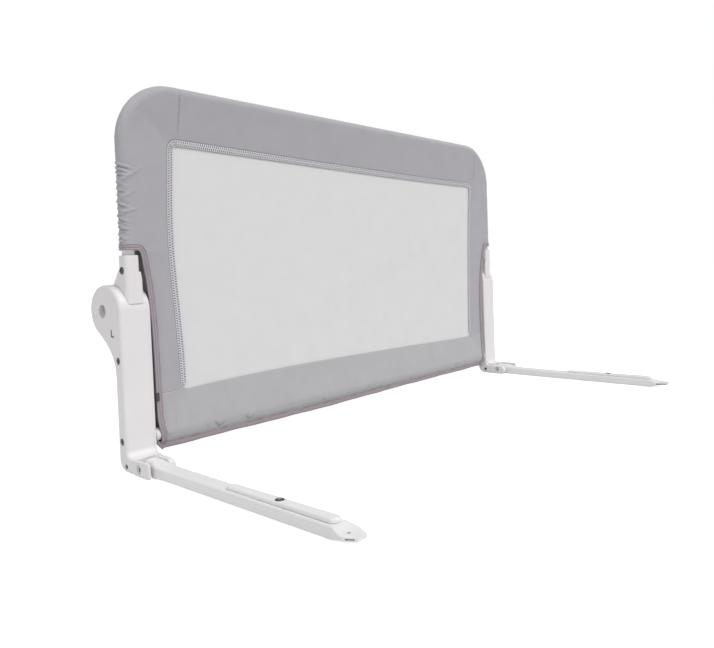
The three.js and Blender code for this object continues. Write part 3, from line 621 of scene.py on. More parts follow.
both_sides(outer_shell(), "post_housing", "base", plastic, "post_outer_shell")

# %% [markdown]
# ## Lid of the housing
# The lid closes the post on the inside. It is a thin copy of the same side view, and it carries the inner
# cheek of the hinge and the inner cheek of the fork, which are thicker so that they reach the tongue and
# the arm.

# %% Lid
lid_toe = 7
lid_gap = 0.06
fork_cheek_gap = 1.4


def housing_lid():
    """A thin lid, joined to two thicker slabs where they lie in the hinge's room and in the fork's"""
    start = parting_line + lid_gap
    outline = housing_outline(lid_reach, lid_boot_height, lid_toe, lid_toe)
    lid = slab(outline, side_view, start, post_width, (joint_rim, inner_rim))
    cheek = slab(outline, side_view, inner_cheek, start + 1, (0.5, 0))
    fork = slab(outline, side_view, tube_inset + fork_half_width + fork_cheek_gap, start + 1, (1.2, 0))
    cheek_room = slab(hinge_room(seat_gap), side_view, inner_cheek - 1, start + 2)
    fork_box = slab(fork_room(seat_gap), side_view, tube_inset, start + 2)
    whole = join(lid, keep(cheek, cheek_room), keep(fork, fork_box))
    return cut(
        whole,
        head_recess(hinge_centre, nut_recess, nut_recess_depth, bolt_bore, post_width, -1),
        head_recess(arm_rivet, *arm_rivet_recess, post_width, -1),
        head_recess(heel_rivet, *heel_rivet_recess, post_width, -1),
        rod("x", (0, *upper_screw), screw_bore, 0, parting_line + 3),
        rod("x", (0, *bar_screw), screw_bore, 0, post_width + 1),
    )


both_sides(housing_lid(), "post_lid", "base", plastic, "post_inner_shell")

# %% [markdown]
# ## Bracket
# The upper half of the hinge holds the frame tube. Its socket is a rounded column, a tongue below it turns
# between the two cheeks, and a short rib behind it stiffens the two. Three slabs are joined, and then the
# room for the outer cheek and the bore for the tube are cut away.

# %% Bracket
bracket_start = low("left_hinge_bracket").x
bracket_end = 2 * tube_inset - bracket_start
bracket_top = high("left_hinge_bracket").z
bracket_screw = (tube_depth, bracket_top - 19)
bracket_seat = bracket_start + 1.1
rib_foot = disc_top + 1
rib_top = rib_foot + 18
rib_back = post_depth + 14
neck = 0.15
close_gap = 0.05


def tongue_outline():
    """Side view: round like the disc behind, and straight up to the rib and the column in front"""
    foot = ledge_height + close_gap
    front = 180 - math.degrees(math.asin((foot - hinge_height) / eye_radius))
    return [
        (neck, foot),
        *arc(hinge_centre, eye_radius, front, 450, 5),
        (rib_back - 3, rib_foot + 3),
        (post_depth - 3, rib_top - 3),
        (neck, rib_top - 3),
    ]


def cheek_room():
    """Side view of the outer cheek's head with running room round it"""
    room = 0.3
    return [
        (-room, hinge_height - disc_radius),
        (hinge_depth + disc_radius + room, hinge_height - disc_radius),
        *arc(hinge_centre, disc_radius + room, 0, 90, 5),
        *arc((shoulder_radius, disc_top - shoulder_radius), shoulder_radius + room, 90, 180, 5),
    ]


def bracket():
    """Column, rib and tongue joined, with the room for the outer cheek, the tube and the bolt cut away"""
    foot = ledge_height + close_gap
    column_view = rounded(bracket_start, bracket_end, 0, post_depth, 6)
    column = slab(column_view, plan_view, foot, bracket_top, (0, 1))
    rib_view = [(3, rib_foot - 6), (rib_back, rib_foot - 6), (rib_back, rib_foot), (post_depth, rib_top),
                (3, rib_top)]
    rib = slab(rib_view, side_view, bracket_start, bracket_end, (2.5, 2.5))
    tongue_end = tongue_start + tongue_width
    tongue = slab(tongue_outline(), side_view, tongue_start, tongue_end, (0.2, 1.6), 4)
    # Above the disc the tongue narrows to the column's width, so what stands past the column is cut off.
    lean_view = [(bracket_end - 0.02, bracket_top), (bracket_end - 0.02, rib_top - 4),
                 (tongue_end - 0.5, disc_top + 6), (tongue_end, disc_top - 4), (post_width, disc_top - 4),
                 (post_width, bracket_top)]
    lean = slab(lean_view, front_view, -overrun, post_depth + hinge_depth)
    ledge_view = [(-overrun, 0), (hinge_depth, 0), (hinge_depth, foot), (-overrun, foot)]
    upper = cut(
        join(column, rib),
        slab(cheek_room(), side_view, bracket_start - overrun, tongue_start),
        slab(ledge_view, side_view, 0, post_width),
    )
    bore = [(0, tube_foot - seat_gap), (tube_radius + seat_gap, tube_foot - seat_gap),
            (tube_radius + seat_gap, bracket_top - 0.8), (tube_radius + 1.1, bracket_top + 0.01),
            (tube_radius + 1.1, bracket_top + overrun), (0, bracket_top + overrun)]
    return cut(
        join(upper, cut(tongue, lean)),
        turned(bore, "z", (tube_inset, tube_depth, 0)),
        rod("x", (0, *hinge_centre), bolt_bore, 0, post_width),
        pin_hole("x", (0, *bracket_screw), screw_head + seat_gap, bracket_start, bracket_seat - bracket_start,
                 screw_bore, tube_inset, 0.5),
    )


both_sides(bracket(), "hinge_bracket_moulding", "panel", plastic, "hinge_bracket")

# %% [markdown]
# ## Frame tube
# A tube bender rolls the tube round a former. Blender's spin does the same: a ring climbs straight up, is
# spun a quarter turn about the middle of the bend, and runs on to the joint with the top tube.

# %% Corner tube
def corner_tube():
    bm = bmesh.new()
    start = Matrix.Translation((tube_inset, tube_depth, tube_foot))
    bmesh.ops.create_circle(bm, cap_ends=False, radius=tube_radius, segments=32, matrix=start)

    def run_on(ring, step):
        made = bmesh.ops.extrude_edge_only(bm, edges=ring)["geom"]
        bmesh.ops.translate(bm, verts=[v for v in made if isinstance(v, bmesh.types.BMVert)], vec=step)
        return [e for e in made if isinstance(e, bmesh.types.BMEdge)]

    ring = run_on(bm.edges[:], (0, 0, tube_top - tube_bend - tube_foot))
    turn = bmesh.ops.spin(bm, geom=ring, cent=(bend_end, tube_depth, tube_top - tube_bend), axis=(0, 1, 0),
                          angle=math.pi / 2, steps=18)["geom_last"]
    run_on([e for e in turn if isinstance(e, bmesh.types.BMEdge)], (tube_end - bend_end, 0, 0))
    bmesh.ops.remove_doubles(bm, verts=bm.verts, dist=1e-4)
    bmesh.ops.recalc_face_normals(bm, faces=bm.faces)
    return bm


for tube in both_sides(corner_tube(), "frame_tube", "panel", coat, "corner_tube"):
    wall = tube.modifiers.new("wall", "SOLIDIFY")
    wall.thickness = tube_wall * mm
    wall.offset = -1

# %% [markdown]
# ## Arm
# The arm is a piece of steel tube with soft corners above and crisp ones below. A press leaves it tall
# where the fork holds it, sets it lower along its length, and crimps its tip nearly shut. There it gets
# wider, because its way round stays the same. A ring is drawn at each station of the press, and
# neighbouring rings are bridged.

# %% Stations of the press
arm_near = 10.4
arm_far = 32.7
arm_top = crossbar_foot - 0.5
arm_stations = [
    # y, underside, top, near side, far side, corner of the top, wall
    (-17, 0, arm_root_height, 11.4, 31.4, 8, 1.4),
    (-36, 0, 18.4, 11.4, 31.4, 7, 1.4),
    (-43, 0, 17.1, 7.8, 31.5, 6, 1.4),
    (-50, 0, 15.9, 8.2, 31.7, 5, 1.4),
    (-62, 0, 14.2, 10.2, 32.2, 4, 1.4),
    (-78, 0, arm_top + 0.2, arm_near, arm_far, 3.4, 1.4),
    (34 - arm_reach, 0, arm_top, arm_near, arm_far, 3.2, 1.4),
    (29 - arm_reach, 0.5, arm_top - 0.4, arm_near - 0.6, arm_far + 0.6, 3, 1.4),
    (24 - arm_reach, 2.2, 11, arm_near - 2, arm_far + 2, 2.6, 1.5),
    (19 - arm_reach, 3.7, 9.3, 7.1, 35.7, 2, 1.5),
    (14 - arm_reach, 4.4, 8.9, 6.6, 36.1, 1.6, 1.4),
    (-arm_reach, 5.2, 8.8, 6.5, 36.2, 1.4, 1.2),
]


def pressed_section(foot, top, near, far, corner):
    """A flat box, crisp below and round above, drawn with the same number of points at every station"""
    crisp = min(1.5, 0.4 * (top - foot))
    corner = min(corner, 0.5 * (top - foot))
    return [
        *arc((far - crisp, foot + crisp), crisp, -90, 0, 30),
        *arc((far - corner, top - corner), corner, 0, 90, 10),
        *arc((near + corner, top - corner), corner, 90, 180, 10),
        *arc((near + crisp, foot + crisp), crisp, 180, 270, 30),
    ]


def pressed_run(hollow=False, root_end=0, tip_end=0):
    """Rings of the section, or of its hollow, bridged one to the next and capped at both ends"""
    bm = bmesh.new()
    loops = []
    last = len(arm_stations) - 1
    for number, (y, foot, top, near, far, corner, wall) in enumerate(arm_stations):
        inset = wall if hollow else 0
        y += root_end if number == 0 else tip_end if number == last else 0
        corner = max(corner - inset, 0.3)
        outline = pressed_section(foot + inset, top - inset, near + inset, far - inset, corner)
        points = [bm.verts.new((x, y, z)) for x, z in outline]
        loops.append([bm.edges.new(pair) for pair in zip(points, points[1:] + points[:1])])
    for near_loop, far_loop in zip(loops, loops[1:]):
        bmesh.ops.bridge_loops(bm, edges=near_loop + far_loop)
    bmesh.ops.holes_fill(bm, edges=loops[0] + loops[-1], sides=0)
    bmesh.ops.recalc_face_normals(bm, faces=bm.faces)
    return bm


# %% Arm
swivel_axis = (tube_inset, -crossbar_reach, 0)
tip_hole = (17.6, 14.5 - arm_reach)
side_dimple = (13.9, -275.5)


def clip(side, edge, length, width):
    """A cutter for the corner that is clipped off the tip on one side"""
    corner = [(edge + side * overrun, overrun - arm_reach + length), (edge, length - arm_reach),
              (edge - side * width, -arm_reach), (edge - side * width, -arm_reach - overrun),
              (edge + side * overrun, -arm_reach - overrun)]
    return slab(corner, plan_view, -overrun, 20)


def arm():
    root = [(-arm_pivot_reach, -overrun), (overrun, -overrun), (overrun, boot_height + overrun),
            (-arm_pivot_reach, boot_height + overrun), *arc(arm_rivet, arm_root_height / 2, 90, -90)]
    return cut(
        pressed_run(),
        pressed_run(True, overrun, 2.4),
        slab(root, side_view, -overrun, post_width + overrun),
        clip(-1, 6.4, 13, 7),
        clip(1, 36.4, 22, 10),
        rod("x", (0, *arm_rivet), rivet_bore, 0, post_width),
        rod("z", swivel_axis, swivel_bore, 6.5, 20),
        rod("z", (*tip_hole, 0), 2, -3, 20),
        rod("z", (*side_dimple, 0), 1.3, 10, 20),
    )


both_sides(arm(), "pressed_arm", "{side}_arm", coat, "arm_tube", 30)

# %% [markdown]
# ## Crossbar
# A flat bar with round ends lies on each arm and turns on a rivet, so that it can grip the mattress
# crosswise. It is stamped from strip, so it is one slab with softly rounded rims and a countersunk hole.

# %% Crossbar
bar_length = 165
bar_radius = 7
root_slope = 1.5
rivet_top = crossbar_top - root_slope / 2
crossbar_recess = 5


def crossbar():
    """The bar is pressed a little thinner toward the root end"""
    reach = bar_length / 2 - bar_radius
    outline = [
        *arc((tube_inset, reach - crossbar_reach), bar_radius, 0, 180),
        *arc((tube_inset, -reach - crossbar_reach), bar_radius, 180, 360),
    ]
    foot = crossbar_foot - 0.25
    thickness = crossbar_top - foot
    bar = slab(outline, plan_view, foot, crossbar_top, (0.5, 2.7), 6)
    for vert in bar.verts:
        toward_root = (vert.co.y + crossbar_reach) / bar_length + 0.5
        vert.co.z -= root_slope * toward_root * (vert.co.z - foot) / thickness
    hole = pin_hole("z", swivel_axis, crossbar_recess, rivet_top, 1.2, swivel_bore, 0, 0.5, -1)
    return cut(bar, hole)


both_sides(crossbar(), "swivel_bar", "{side}_swivel", coat, "crossbar")

# %% [markdown]
# ## Screws, rivets and plugs
# These are all turned parts, so each is a profile spun about its own axis. The screws get a cross recess,
# cut by two small slabs, because the dark cross is what makes a round dot read as a screw.

# %% Screw and rivet profiles
def screw(seat, tip, centre):
    """A pan head with a cross recess on a plain shank; seat is where the head rests"""
    head = seat - 2.5
    neck_end = seat - seat_gap
    shank = 2.1
    dome = arc((screw_head - 1, head + 1), 1, -90, 0, 18)
    profile = [(0, head), *dome, (screw_head, neck_end), (shank, neck_end), (shank, tip), (0, tip)]
    y, z = centre
    cross_reach = 2.3
    cross_half = 0.45
    cross = []
    for wide, tall in ((cross_reach, cross_half), (cross_half, cross_reach)):
        bar_view = [(y - wide, z - tall), (y + wide, z - tall), (y + wide, z + tall), (y - wide, z + tall)]
        cross.append(slab(bar_view, side_view, head - 1, head + 1.3))
    return cut(turned(profile, "x", (0, *centre), 32), *cross)


def rivet(radius, head_radius, hole, centre):
    """A tubular rivet: a shank with a rolled rim round a blind hole at each face of the housing"""
    middle = (hole + head_radius) / 2
    curl = (head_radius - hole) / 2
    ends = []
    for face, way in ((0.5, 1), (post_width - 0.5, -1)):
        rolled = [(middle - curl * math.cos(a), face + way * 0.9 * (1 - math.sin(a)))
                  for a in (math.radians(step) for step in range(0, 181, 18))]
        ends.append([(0, face + way * 4.6), (hole * 0.7, face + way * 4.2), *rolled,
                     (radius, face + way * 1.4)])
    return turned(ends[0] + ends[1][::-1], "x", (0, *centre), 32)


# %% Screws and rivets in their places
for node_name, body, seat, tip, centre in (
    ("post_screw", "base", screw_recess, parting_line + 2.7, upper_screw),
    ("bar_screw", "base", screw_recess, post_width + 16, bar_screw),
    ("bracket_screw", "panel", bracket_seat, tube_inset, bracket_screw),
):
    both_sides(screw(seat, tip, centre), f"{node_name}_head", body, black, node_name)
both_sides(rivet(1.6, 2.8, 1.2, heel_rivet), "heel_rivet_head", "base", black, "heel_rivet")
both_sides(rivet(3.5, 5, 2.6, arm_rivet), "arm_rivet_head", "base", zinc, "arm_rivet")

# %% Pivot bolt, crossbar rivet and bar plug
def pivot_bolt():
    """A low round head with a socket in its middle, and a plain shank"""
    neck_end = 8.7
    head = neck_end - 4
    head_radius = 5.8
    corner = 1.4
    shank = 4
    socket = [(0, head + 2.4), (2.4, head + 2.2), (2.7, head + 0.3), (3, head)]
    dome = arc((head_radius - corner, head + corner), corner, -90, 0, 18)
    profile = [*socket, *dome, (head_radius, neck_end), (shank, neck_end), (shank, post_width - seat_gap),
               (0, post_width - seat_gap)]
    return turned(profile, "x", (0, *hinge_centre), 40)


swivel_shank = 2.5


def crossbar_rivet():
    """A blind rivet: a bulb under the arm's top wall, a shank, and a raised ring on the crossbar"""
    seat = rivet_top - 1
    bulb = 3.8
    bulb_height = 0.9
    ceiling = low("left_crossbar_rivet").z + bulb_height
    ring = [(4.8, seat), (4.8, rivet_top + 0.1), (4.4, rivet_top + 0.5), (3.2, rivet_top + 0.5),
            (2.9, rivet_top - 0.2), (0, rivet_top - 0.2)]
    profile = [(0, ceiling - bulb_height), (bulb, ceiling - bulb_height), (bulb, ceiling),
               (swivel_shank, ceiling), (swivel_shank, seat), *ring]
    return turned(profile, "z", swivel_axis, 32)


def rivet_mandrel():
    """The broken-off pin that stays in the middle of a blind rivet"""
    start = rivet_top - 0.1
    profile = [(0, start), (swivel_shank, start), (swivel_shank, start + 0.9), (1.9, start + 1.2),
               (0, start + 1.2)]
    return turned(profile, "z", swivel_axis, 24)


def bar_plug():
    """A round collar that shows, and a stem that goes into the bar"""
    foot = post_width + seat_gap
    collar_end = foot + 8.5
    stem = 6.3
    stem_end = collar_end + 26
    corner = 2.4
    rim = arc((stem, corner), corner, -90, 0, 15)
    profile = [(0, foot), *[(r, foot + d) for r, d in rim], *[(r, collar_end - d) for r, d in rim[::-1]],
               (stem, collar_end), (stem, stem_end), (0, stem_end)]
    return turned(profile, "x", (0, *bar_screw), 40)


def bottom_bar():
    start = low("bottom_bar").x
    bore = tube_radius - tube_wall
    profile = [(bore, start), (tube_radius, start), (tube_radius, rail_length - start),
               (bore, rail_length - start), (bore, start)]
    return turned(profile, "x", (0, *bar_screw), 40)


both_sides(pivot_bolt(), "pivot_bolt_head", "base", zinc, "pivot_bolt")
both_sides(crossbar_rivet(), "swivel_rivet", "{side}_arm", black, "crossbar_rivet")
both_sides(rivet_mandrel(), "swivel_rivet_pin", "{side}_arm", zinc)
both_sides(bar_plug(), "bar_end_plug", "base", plastic, "bar_plug")
bar_mesh = mesh_of(bottom_bar(), "lower_bar")
bar_mesh.transform(to_world)
hard_piece(bar_mesh, "lower_bar", "base", coat, ["bottom_bar"])

# %% [markdown]
# ## Side marks
# A small letter on each housing tells the fitter which unit goes left and which goes right. It is
# pad-printed, so it is only a film of ink. A text curve becomes a mesh, is scaled to the letter's height,
# and is turned to face outwards. The letters are placed one by one: a mirrored R would be wrong.

# %% Letters on the outer faces
mark_height = 9.2
mark_foot = 169.8
mark_back = 25.2
mark_stretch = 1.25
ink = finish_of("mark_ink", tone(98, 40, 42), 0.5)
tint(ink, noise(ink, spot(ink), 700, 3), tone(84, 30, 32), tone(128, 66, 64))


def side_mark(letter, side):
    text = bpy.data.curves.new("mark", "FONT")
    text.body = letter
    text.extrude = 0.006
    text.offset = 0.028
    holder = bpy.data.objects.new("mark", text)
    bpy.context.collection.objects.link(holder)
    mesh = finished_mesh(holder)
    bpy.data.objects.remove(holder)
    size = mark_height * mm / max(vert.co.y for vert in mesh.vertices)
    wide = max(vert.co.x for vert in mesh.vertices) * size * mark_stretch
    outside = -1 if side == "left" else 1
    across, up, out = Vector((0, outside, 0)), Vector((0, 0, 1)), Vector((outside, 0, 0))
    start = mark_back * mm if side == "left" else mark_back * mm - wide
    turn = Matrix((across, up, out)).transposed().to_4x4()
    place = Matrix.Translation((outside * abs(outer_face), post_front + start, mark_foot * mm))
    mesh.transform(place @ turn @ Matrix.Diagonal((size * mark_stretch, size, size, 1)))
    return hard_piece(mesh, f"{side}_side_mark", "base", ink)


side_mark("L", "left")
side_mark("R", "right")

# %% [markdown]
# ## Finishes on the CAD parts that stay
# Parts inside the housing and under the cloth keep their CAD shape, which is right, and only take the new
# finishes.

# %% Hidden parts
hidden = {f"{side}_{part}": zinc for side in ("left", "right")
          for part in ("post_core", "pivot_nut", "snap_button", "crossbar_washer")}
hidden["top_tube"] = coat
for name, material in hidden.items():
    frame["nodes"][name].data.materials.clear()
    frame["nodes"][name].data.materials.append(material)
print(len(hidden), "CAD parts stay")

# %% [markdown]
# ## Cutting the cover
# The cover is a flat bag that is pulled over the frame from above. A front and a back piece meet round the
# window, run tangent to the tube, and are closed by a sleeve round it. At both posts the bag is cut away
# and stays open, and along the foot it hugs the lower bar and is pinched into a hem. A maker would draw two
# lines on the cloth: the edge of the window, and the line where the cloth touches the tube. So the script
# pairs points on those two lines, one pair a station, and stretches rows of cloth between them.

# %% The two lines of the pattern
sleeve_radius = 10
touch_lean = 10
touch_inset = tube_inset + sleeve_radius * math.sin(math.radians(touch_lean))
touch_radius = tube_bend - (touch_inset - tube_inset)
touch_top = tube_top - (touch_inset - tube_inset)
touch_foot = bar_height + touch_inset - tube_inset
touch_right = rail_length - touch_inset
bend_foot = tube_top - tube_bend
sleeve_foot = 278.5
rim_x = 47.2
rim_foot = 91
rim_neck = (41.8, 228.7)
rim_shoulder = (35.6, 265)


def mirror_x(points):
    return [(rail_length - x, z) for x, z in points]


def curve(start, start_pull, end_pull, end, steps=24):
    points = [Vector(p) for p in (start, start_pull, end_pull, end)]
    return [tuple(point) for point in interpolate_bezier(*points, steps + 1)]


side_rim = [
    *curve((rim_x, rim_foot), (rim_x + 0.5, 140), (rim_x - 0.8, 196), rim_neck),
    *curve(rim_neck, (40, 244), (37.6, 254), rim_shoulder)[1:],
    *curve(rim_shoulder, (34.2, 273), (32.5, sleeve_foot), (28, sleeve_foot))[1:],
    (touch_inset, sleeve_foot),
]
side_foot = [(rim_x, rim_foot), (rim_x, 60), (rim_x + 1, 49), (rim_x + 3.5, touch_foot)]
print("side rim", len(side_rim), "points")

# %% Stations along a line
def even(count):
    return [step / count for step in range(count + 1)]


def close_to(spots, count, reach=0.01, extra=9):
    """Even shares of a line, with more of them close to a few spots such as seams"""
    near = [spot + reach * (2 * step / extra - 1) for spot in spots for step in range(extra + 1)]
    far = [share for share in even(count) if all(abs(share - spot) > reach for spot in spots)]
    return sorted(far + [share for share in near if 0 < share < 1])


def at_shares(points, shares):
    """Points of a line at shares of its length"""
    reach = [0]
    for (x0, z0), (x1, z1) in zip(points, points[1:]):
        reach.append(reach[-1] + math.hypot(x1 - x0, z1 - z0))
    line = []
    leg = 0
    for share in shares:
        goal = reach[-1] * share
        while leg < len(points) - 2 and reach[leg + 1] < goal:
            leg += 1
        part = (goal - reach[leg]) / (reach[leg + 1] - reach[leg])
        (x0, z0), (x1, z1) = points[leg], points[leg + 1]
        line.append((x0 + (x1 - x0) * part, z0 + (z1 - z0) * part))
    return line


# %% Stretches of paired lines: window edge, touching line and stations
top_left = arc((98.5, 410.5), 15, 180, 90)
top_right = arc((816, 402), 13, 90, 0)
foot_right = arc((801, 97), 11, 0, -90, 5)
foot_left = arc((99, 101), 11, 270, 180, 5)
left_split = (78.8, 287)
right_split = (820, 278)
seam_step = 3
bend_left = arc((bend_end, bend_foot), touch_radius, 180, 90, 2.5)
left_side = curve(foot_left[-1], (87.5, 160), (80, 230), left_split)
left_edge = curve(left_split, (78, 330), (82, 370), top_left[0])
upper_stretches = [
    ("left_rim", foot_left[seam_step:] + left_side[1:], side_rim, even(110)),
    ("sleeve", left_edge, [(touch_inset, sleeve_foot), (touch_inset, bend_foot)], even(300)),
    ("sleeve", top_left, bend_left, even(60)),
    ("sleeve", curve(top_left[-1], (330, 421), (560, 415), top_right[0]),
     [(bend_end, touch_top), (rail_length - bend_end, touch_top)], close_to((0.012, 0.964), 190)),
    ("sleeve", top_right, mirror_x(bend_left)[::-1], even(40)),
    ("sleeve", [top_right[-1], right_split], [(touch_right, bend_foot), (touch_right, sleeve_foot)],
     even(110)),
    ("right_rim", [right_split] + foot_right[:-seam_step], mirror_x(side_rim)[::-1], even(90)),
]
lower_stretches = [
    ("right_rim", foot_right[-seam_step - 1:-1], mirror_x(side_foot), even(14)),
    ("bar", foot_right[-2:], [(rail_length - rim_x - 3.5, touch_foot), (818, touch_foot)], even(24)),
    ("bar", curve(foot_right[-1], (640, 85), (330, 101), foot_left[0]), [(818, touch_foot), (82, touch_foot)],
     even(600)),
    ("bar", foot_left[:2], [(82, touch_foot), (rim_x + 3.5, touch_foot)], even(30)),
    ("left_rim", foot_left[1:seam_step + 1], side_foot[::-1], even(14)),
]


def stations(stretches):
    """Pairs of points on the two lines, each with the name of its stretch"""
    made = []
    for name, window, touch, shares in stretches:
        pairs = zip(at_shares(window, shares), at_shares(touch, shares))
        made += [(name, *pair) for pair in pairs]
    return made


upper_ring = stations(upper_stretches)
lower_ring = stations(lower_stretches)
print(len(upper_ring), "stations above the band and", len(lower_ring), "along it")

# %% [markdown]
# ## Folds
# Sewing thread draws cloth together, so it puckers beside seams and gathers where it is eased on. Each fold
# is a long soft ridge or valley on the flat cloth: a place, a direction, a length, a width and a height. A
# seeded draw scatters them where the photograph shows them, and their heights are added up and moved along
# the normal. This stands for a cloth simulation, which would smooth away just these small puckers on a taut
# cover.

# %% Folds on the flat cloth
draw = random.Random(7)


def fold(x, z, angle, length, width, height, peak=0.4):
    """A ridge, or a valley where height is negative; peak is the share of its length where it is highest"""
    turn = math.radians(angle)
    return (x, z, math.cos(turn), math.sin(turn), length, width, height, math.log(0.5) / math.log(peak))


def fold_to(start, end, width, height, peak=0.3):
    dx, dz = end[0] - start[0], end[1] - start[1]
    return fold(*start, math.degrees(math.atan2(dz, dx)), math.hypot(dx, dz), width, height, peak)


cell = 20
narrow_width = 3


def cell_span(start, step, width):
    """The cells from one end of a fold to the other, with its flanks"""
    first, last = sorted((start, start + step))
    return range(int((first - 3 * width) // cell), int((last + 3 * width) // cell) + 1)


def near_folds(folds):
    """The folds that reach into each square cell of the flat cloth"""
    cells = {}
    for one in folds:
        x0, z0, along_x, along_z, length, width = one[:6]
        for column in cell_span(x0, along_x * length, width):
            for row in cell_span(z0, along_z * length, width):
                cells.setdefault((column, row), []).append(one)
    return cells


def fold_height(cells, x, z):
    """Height of all folds at a place on the flat cloth, and the height of the narrow ones alone"""
    total = narrow = 0
    here = (int(x // cell), int(z // cell))
    for x0, z0, along_x, along_z, length, width, height, skew in cells.get(here, ()):
        dx, dz = x - x0, z - z0
        along = dx * along_x + dz * along_z
        if not 0 < along < length:
            continue
        across = dx * along_z - dz * along_x
        if abs(across) > 3 * width:
            continue
        share = along / length
        rise = height * math.exp(-(across / width) ** 2) * math.sin(math.pi * share ** skew) ** 0.8
        total += rise
        narrow += rise if width < narrow_width else 0
    return total, narrow


def edge_puckers(edge_x, way, foot, top, pitch, strength):
    """Short folds that fan out from the tube's outer side, by turns down and up"""
    folds = []
    z = top
    turn = 0
    while z > foot:
        angle = draw.uniform(-32, -12) if turn % 3 else draw.uniform(24, 42)
        length = draw.uniform(18, 31)
        height = strength * draw.uniform(0.7, 1.25) * (-1 if turn % 2 else 1)
        start = draw.uniform(-3, 3)
        facing = angle if way > 0 else 180 - angle
        folds.append(fold(edge_x + way * start, z, facing, length, draw.uniform(1.3, 2.2), height, 0.25))
        z -= pitch * draw.uniform(0.55, 1.3)
        turn += 1
    return folds


def band_gathers(x0, x1, foot, top, pitch, strength, slim=1):
    """Fine upright gathers along a band"""
    folds = []
    x = x0
    while x < x1:
        start = draw.uniform(foot, foot + 0.35 * (top - foot))
        length = draw.uniform(0.35, 0.95) * (top - start)
        height = strength * draw.uniform(0.3, 1) * draw.choice((-1, 1))
        folds.append(fold(x, start, draw.uniform(84, 96), length, slim * draw.uniform(1.4, 2.6), height))
        x += pitch * draw.uniform(0.5, 1.5)
    return folds


def hem_puckers(x0, x1, foot, pitch):
    """Small slanted valleys that the hem's thread pulls into the band"""
    folds = []
    x = x0
    while x < x1:
        angle = draw.choice((draw.uniform(38, 66), draw.uniform(114, 142)))
        folds.append(fold(x, foot, angle, draw.uniform(9, 17), draw.uniform(1.3, 2), -draw.uniform(0.3, 0.6)))
        x += pitch * draw.uniform(0.5, 1.6)
    return folds


def seam_line(x, z, angle, length, depth=0.55):
    """A sewn seam: a narrow valley with a soft swell on both sides"""
    turn = math.radians(angle)
    side_x, side_z = -math.sin(turn), math.cos(turn)
    swells = [fold(x + away * side_x, z + away * side_z, angle, length, 3, depth / 2) for away in (-4, 4)]
    return [fold(x, z, angle, length, 1.1, -depth), *swells]


# %% Folds of the front and of the back
flat_edge = touch_inset - sleeve_radius * math.radians(90 + touch_lean)
left_pucker_ends = [
    # start, end, width, height
    ((-5, 390), (29, 380), 1.6, 1.2),
    ((-5, 384), (23, 375.5), 1.3, 1.1),
    ((-5, 378), (21, 371), 1.3, 1.1),
    ((-5, 366), (15, 361), 1.4, 0.9),
    ((-5, 358), (20, 351), 1.4, 1.1),
    ((-5, 349), (13, 346), 1.2, 0.9),
    ((-5, 343), (22, 331), 1.4, 1.2),
    ((-5, 334), (14, 326), 1.3, 1),
    ((-5, 325), (18, 313.5), 1.3, 1.2),
    ((-5, 316), (12, 307), 1.4, 1.1),
    ((-5, 309), (22, 304), 1.4, 1),
    ((-5, 302), (15, 291), 1.3, 1.2),
    ((-5, 295), (13, 286), 1.2, 1),
    ((-5, 448), (7, 443), 1, 0.5),
    ((-5, 440), (6, 436), 0.9, 0.5),
    ((-5, 424), (7, 421), 1, 0.5),
    ((-5, 405), (5, 402), 1, 0.4),
]
left_rays = [
    fold_to((0, 358), (42, 385), 2.2, 1.3, 0.45),
    fold_to((-2, 336), (33, 357), 2.1, 1.2, 0.4),
    fold_to((-2, 321), (36, 333), 1.9, 1.1, 0.4),
    fold_to((-2, 286), (24, 296), 1.8, 0.8),
]


def creased(start, end, width, height):
    """A ridge with a sharp valley right below it"""
    below = [(x, z - 1.9 * width) for x, z in (start, end)]
    return [fold_to(start, end, width, height), fold_to(*below, 0.55 * width, -1.15 * height, 0.22)]


left_puckers = left_rays + [one for ends in left_pucker_ends for one in creased(*ends)]
corner_pulls = [
    fold(88, 417, 138, 66, 9, -0.9, 0.5),
    fold(822, 412, 42, 62, 8, -0.8, 0.5),
    fold(96, 417, 96, 60, 12, 0.7, 0.5),
    fold(84, 96, 222, 36, 5, -0.4),
    fold(815, 90, 318, 40, 5, -0.4),
]
top_seams = seam_line(99, 424, 87.5, 88, 0.8) + seam_line(838, 412, 92, 98, 0.8)
soft_swells = [fold(x, 432, draw.uniform(60, 120), draw.uniform(30, 55), draw.uniform(8, 16),
                    draw.uniform(-0.5, 0.5)) for x in range(130, 820, 46)]
front_folds = (
    left_puckers
    + edge_puckers(flat_edge, 1, 284, 396, 8, 0.4)
    + edge_puckers(rail_length - flat_edge, -1, 286, 410, 13, 0.5)
    + top_seams + corner_pulls + soft_swells
)
back_folds = (
    edge_puckers(flat_edge, 1, 284, 402, 9, 1.0)
    + edge_puckers(rail_length - flat_edge, -1, 286, 410, 13, 0.4)
    + top_seams + corner_pulls + soft_swells
)


hem_stitch = 26
band_foot = 28
deep_pucker_places = [
    # x, spread, size
    (143, 46, 1.3), (196, 50, 1.1), (352, 44, 0.7), (467, 38, 0.6), (585, 47, 0.8), (742, 45, 0.8),
]


def deep_pucker(x, spread, size):
    """Two slanted valleys that meet at the hem, with a ridge between them"""
    return [fold(x, hem_stitch, 90 + spread, 13 * size, 1.3, -1.2 * size, 0.2),
            fold(x + 1, hem_stitch, 90 - spread, 10 * size, 1.2, -1.0 * size, 0.2),
            fold(x, band_foot, 92, 16 * size, 2.4, 0.7 * size, 0.3)]


def band_folds(pitch):
    """Close gathers at the near end, wide ones along the rest, and puckers at the hem"""
    folds = band_gathers(57, 86, band_foot, 90, 1.9, 0.6, 0.5)
    folds += band_gathers(86, 846, band_foot, 92, pitch, 0.34)
    folds += hem_puckers(66, 836, hem_stitch, 58)
    for place in deep_pucker_places:
        folds += deep_pucker(*place)
    return folds


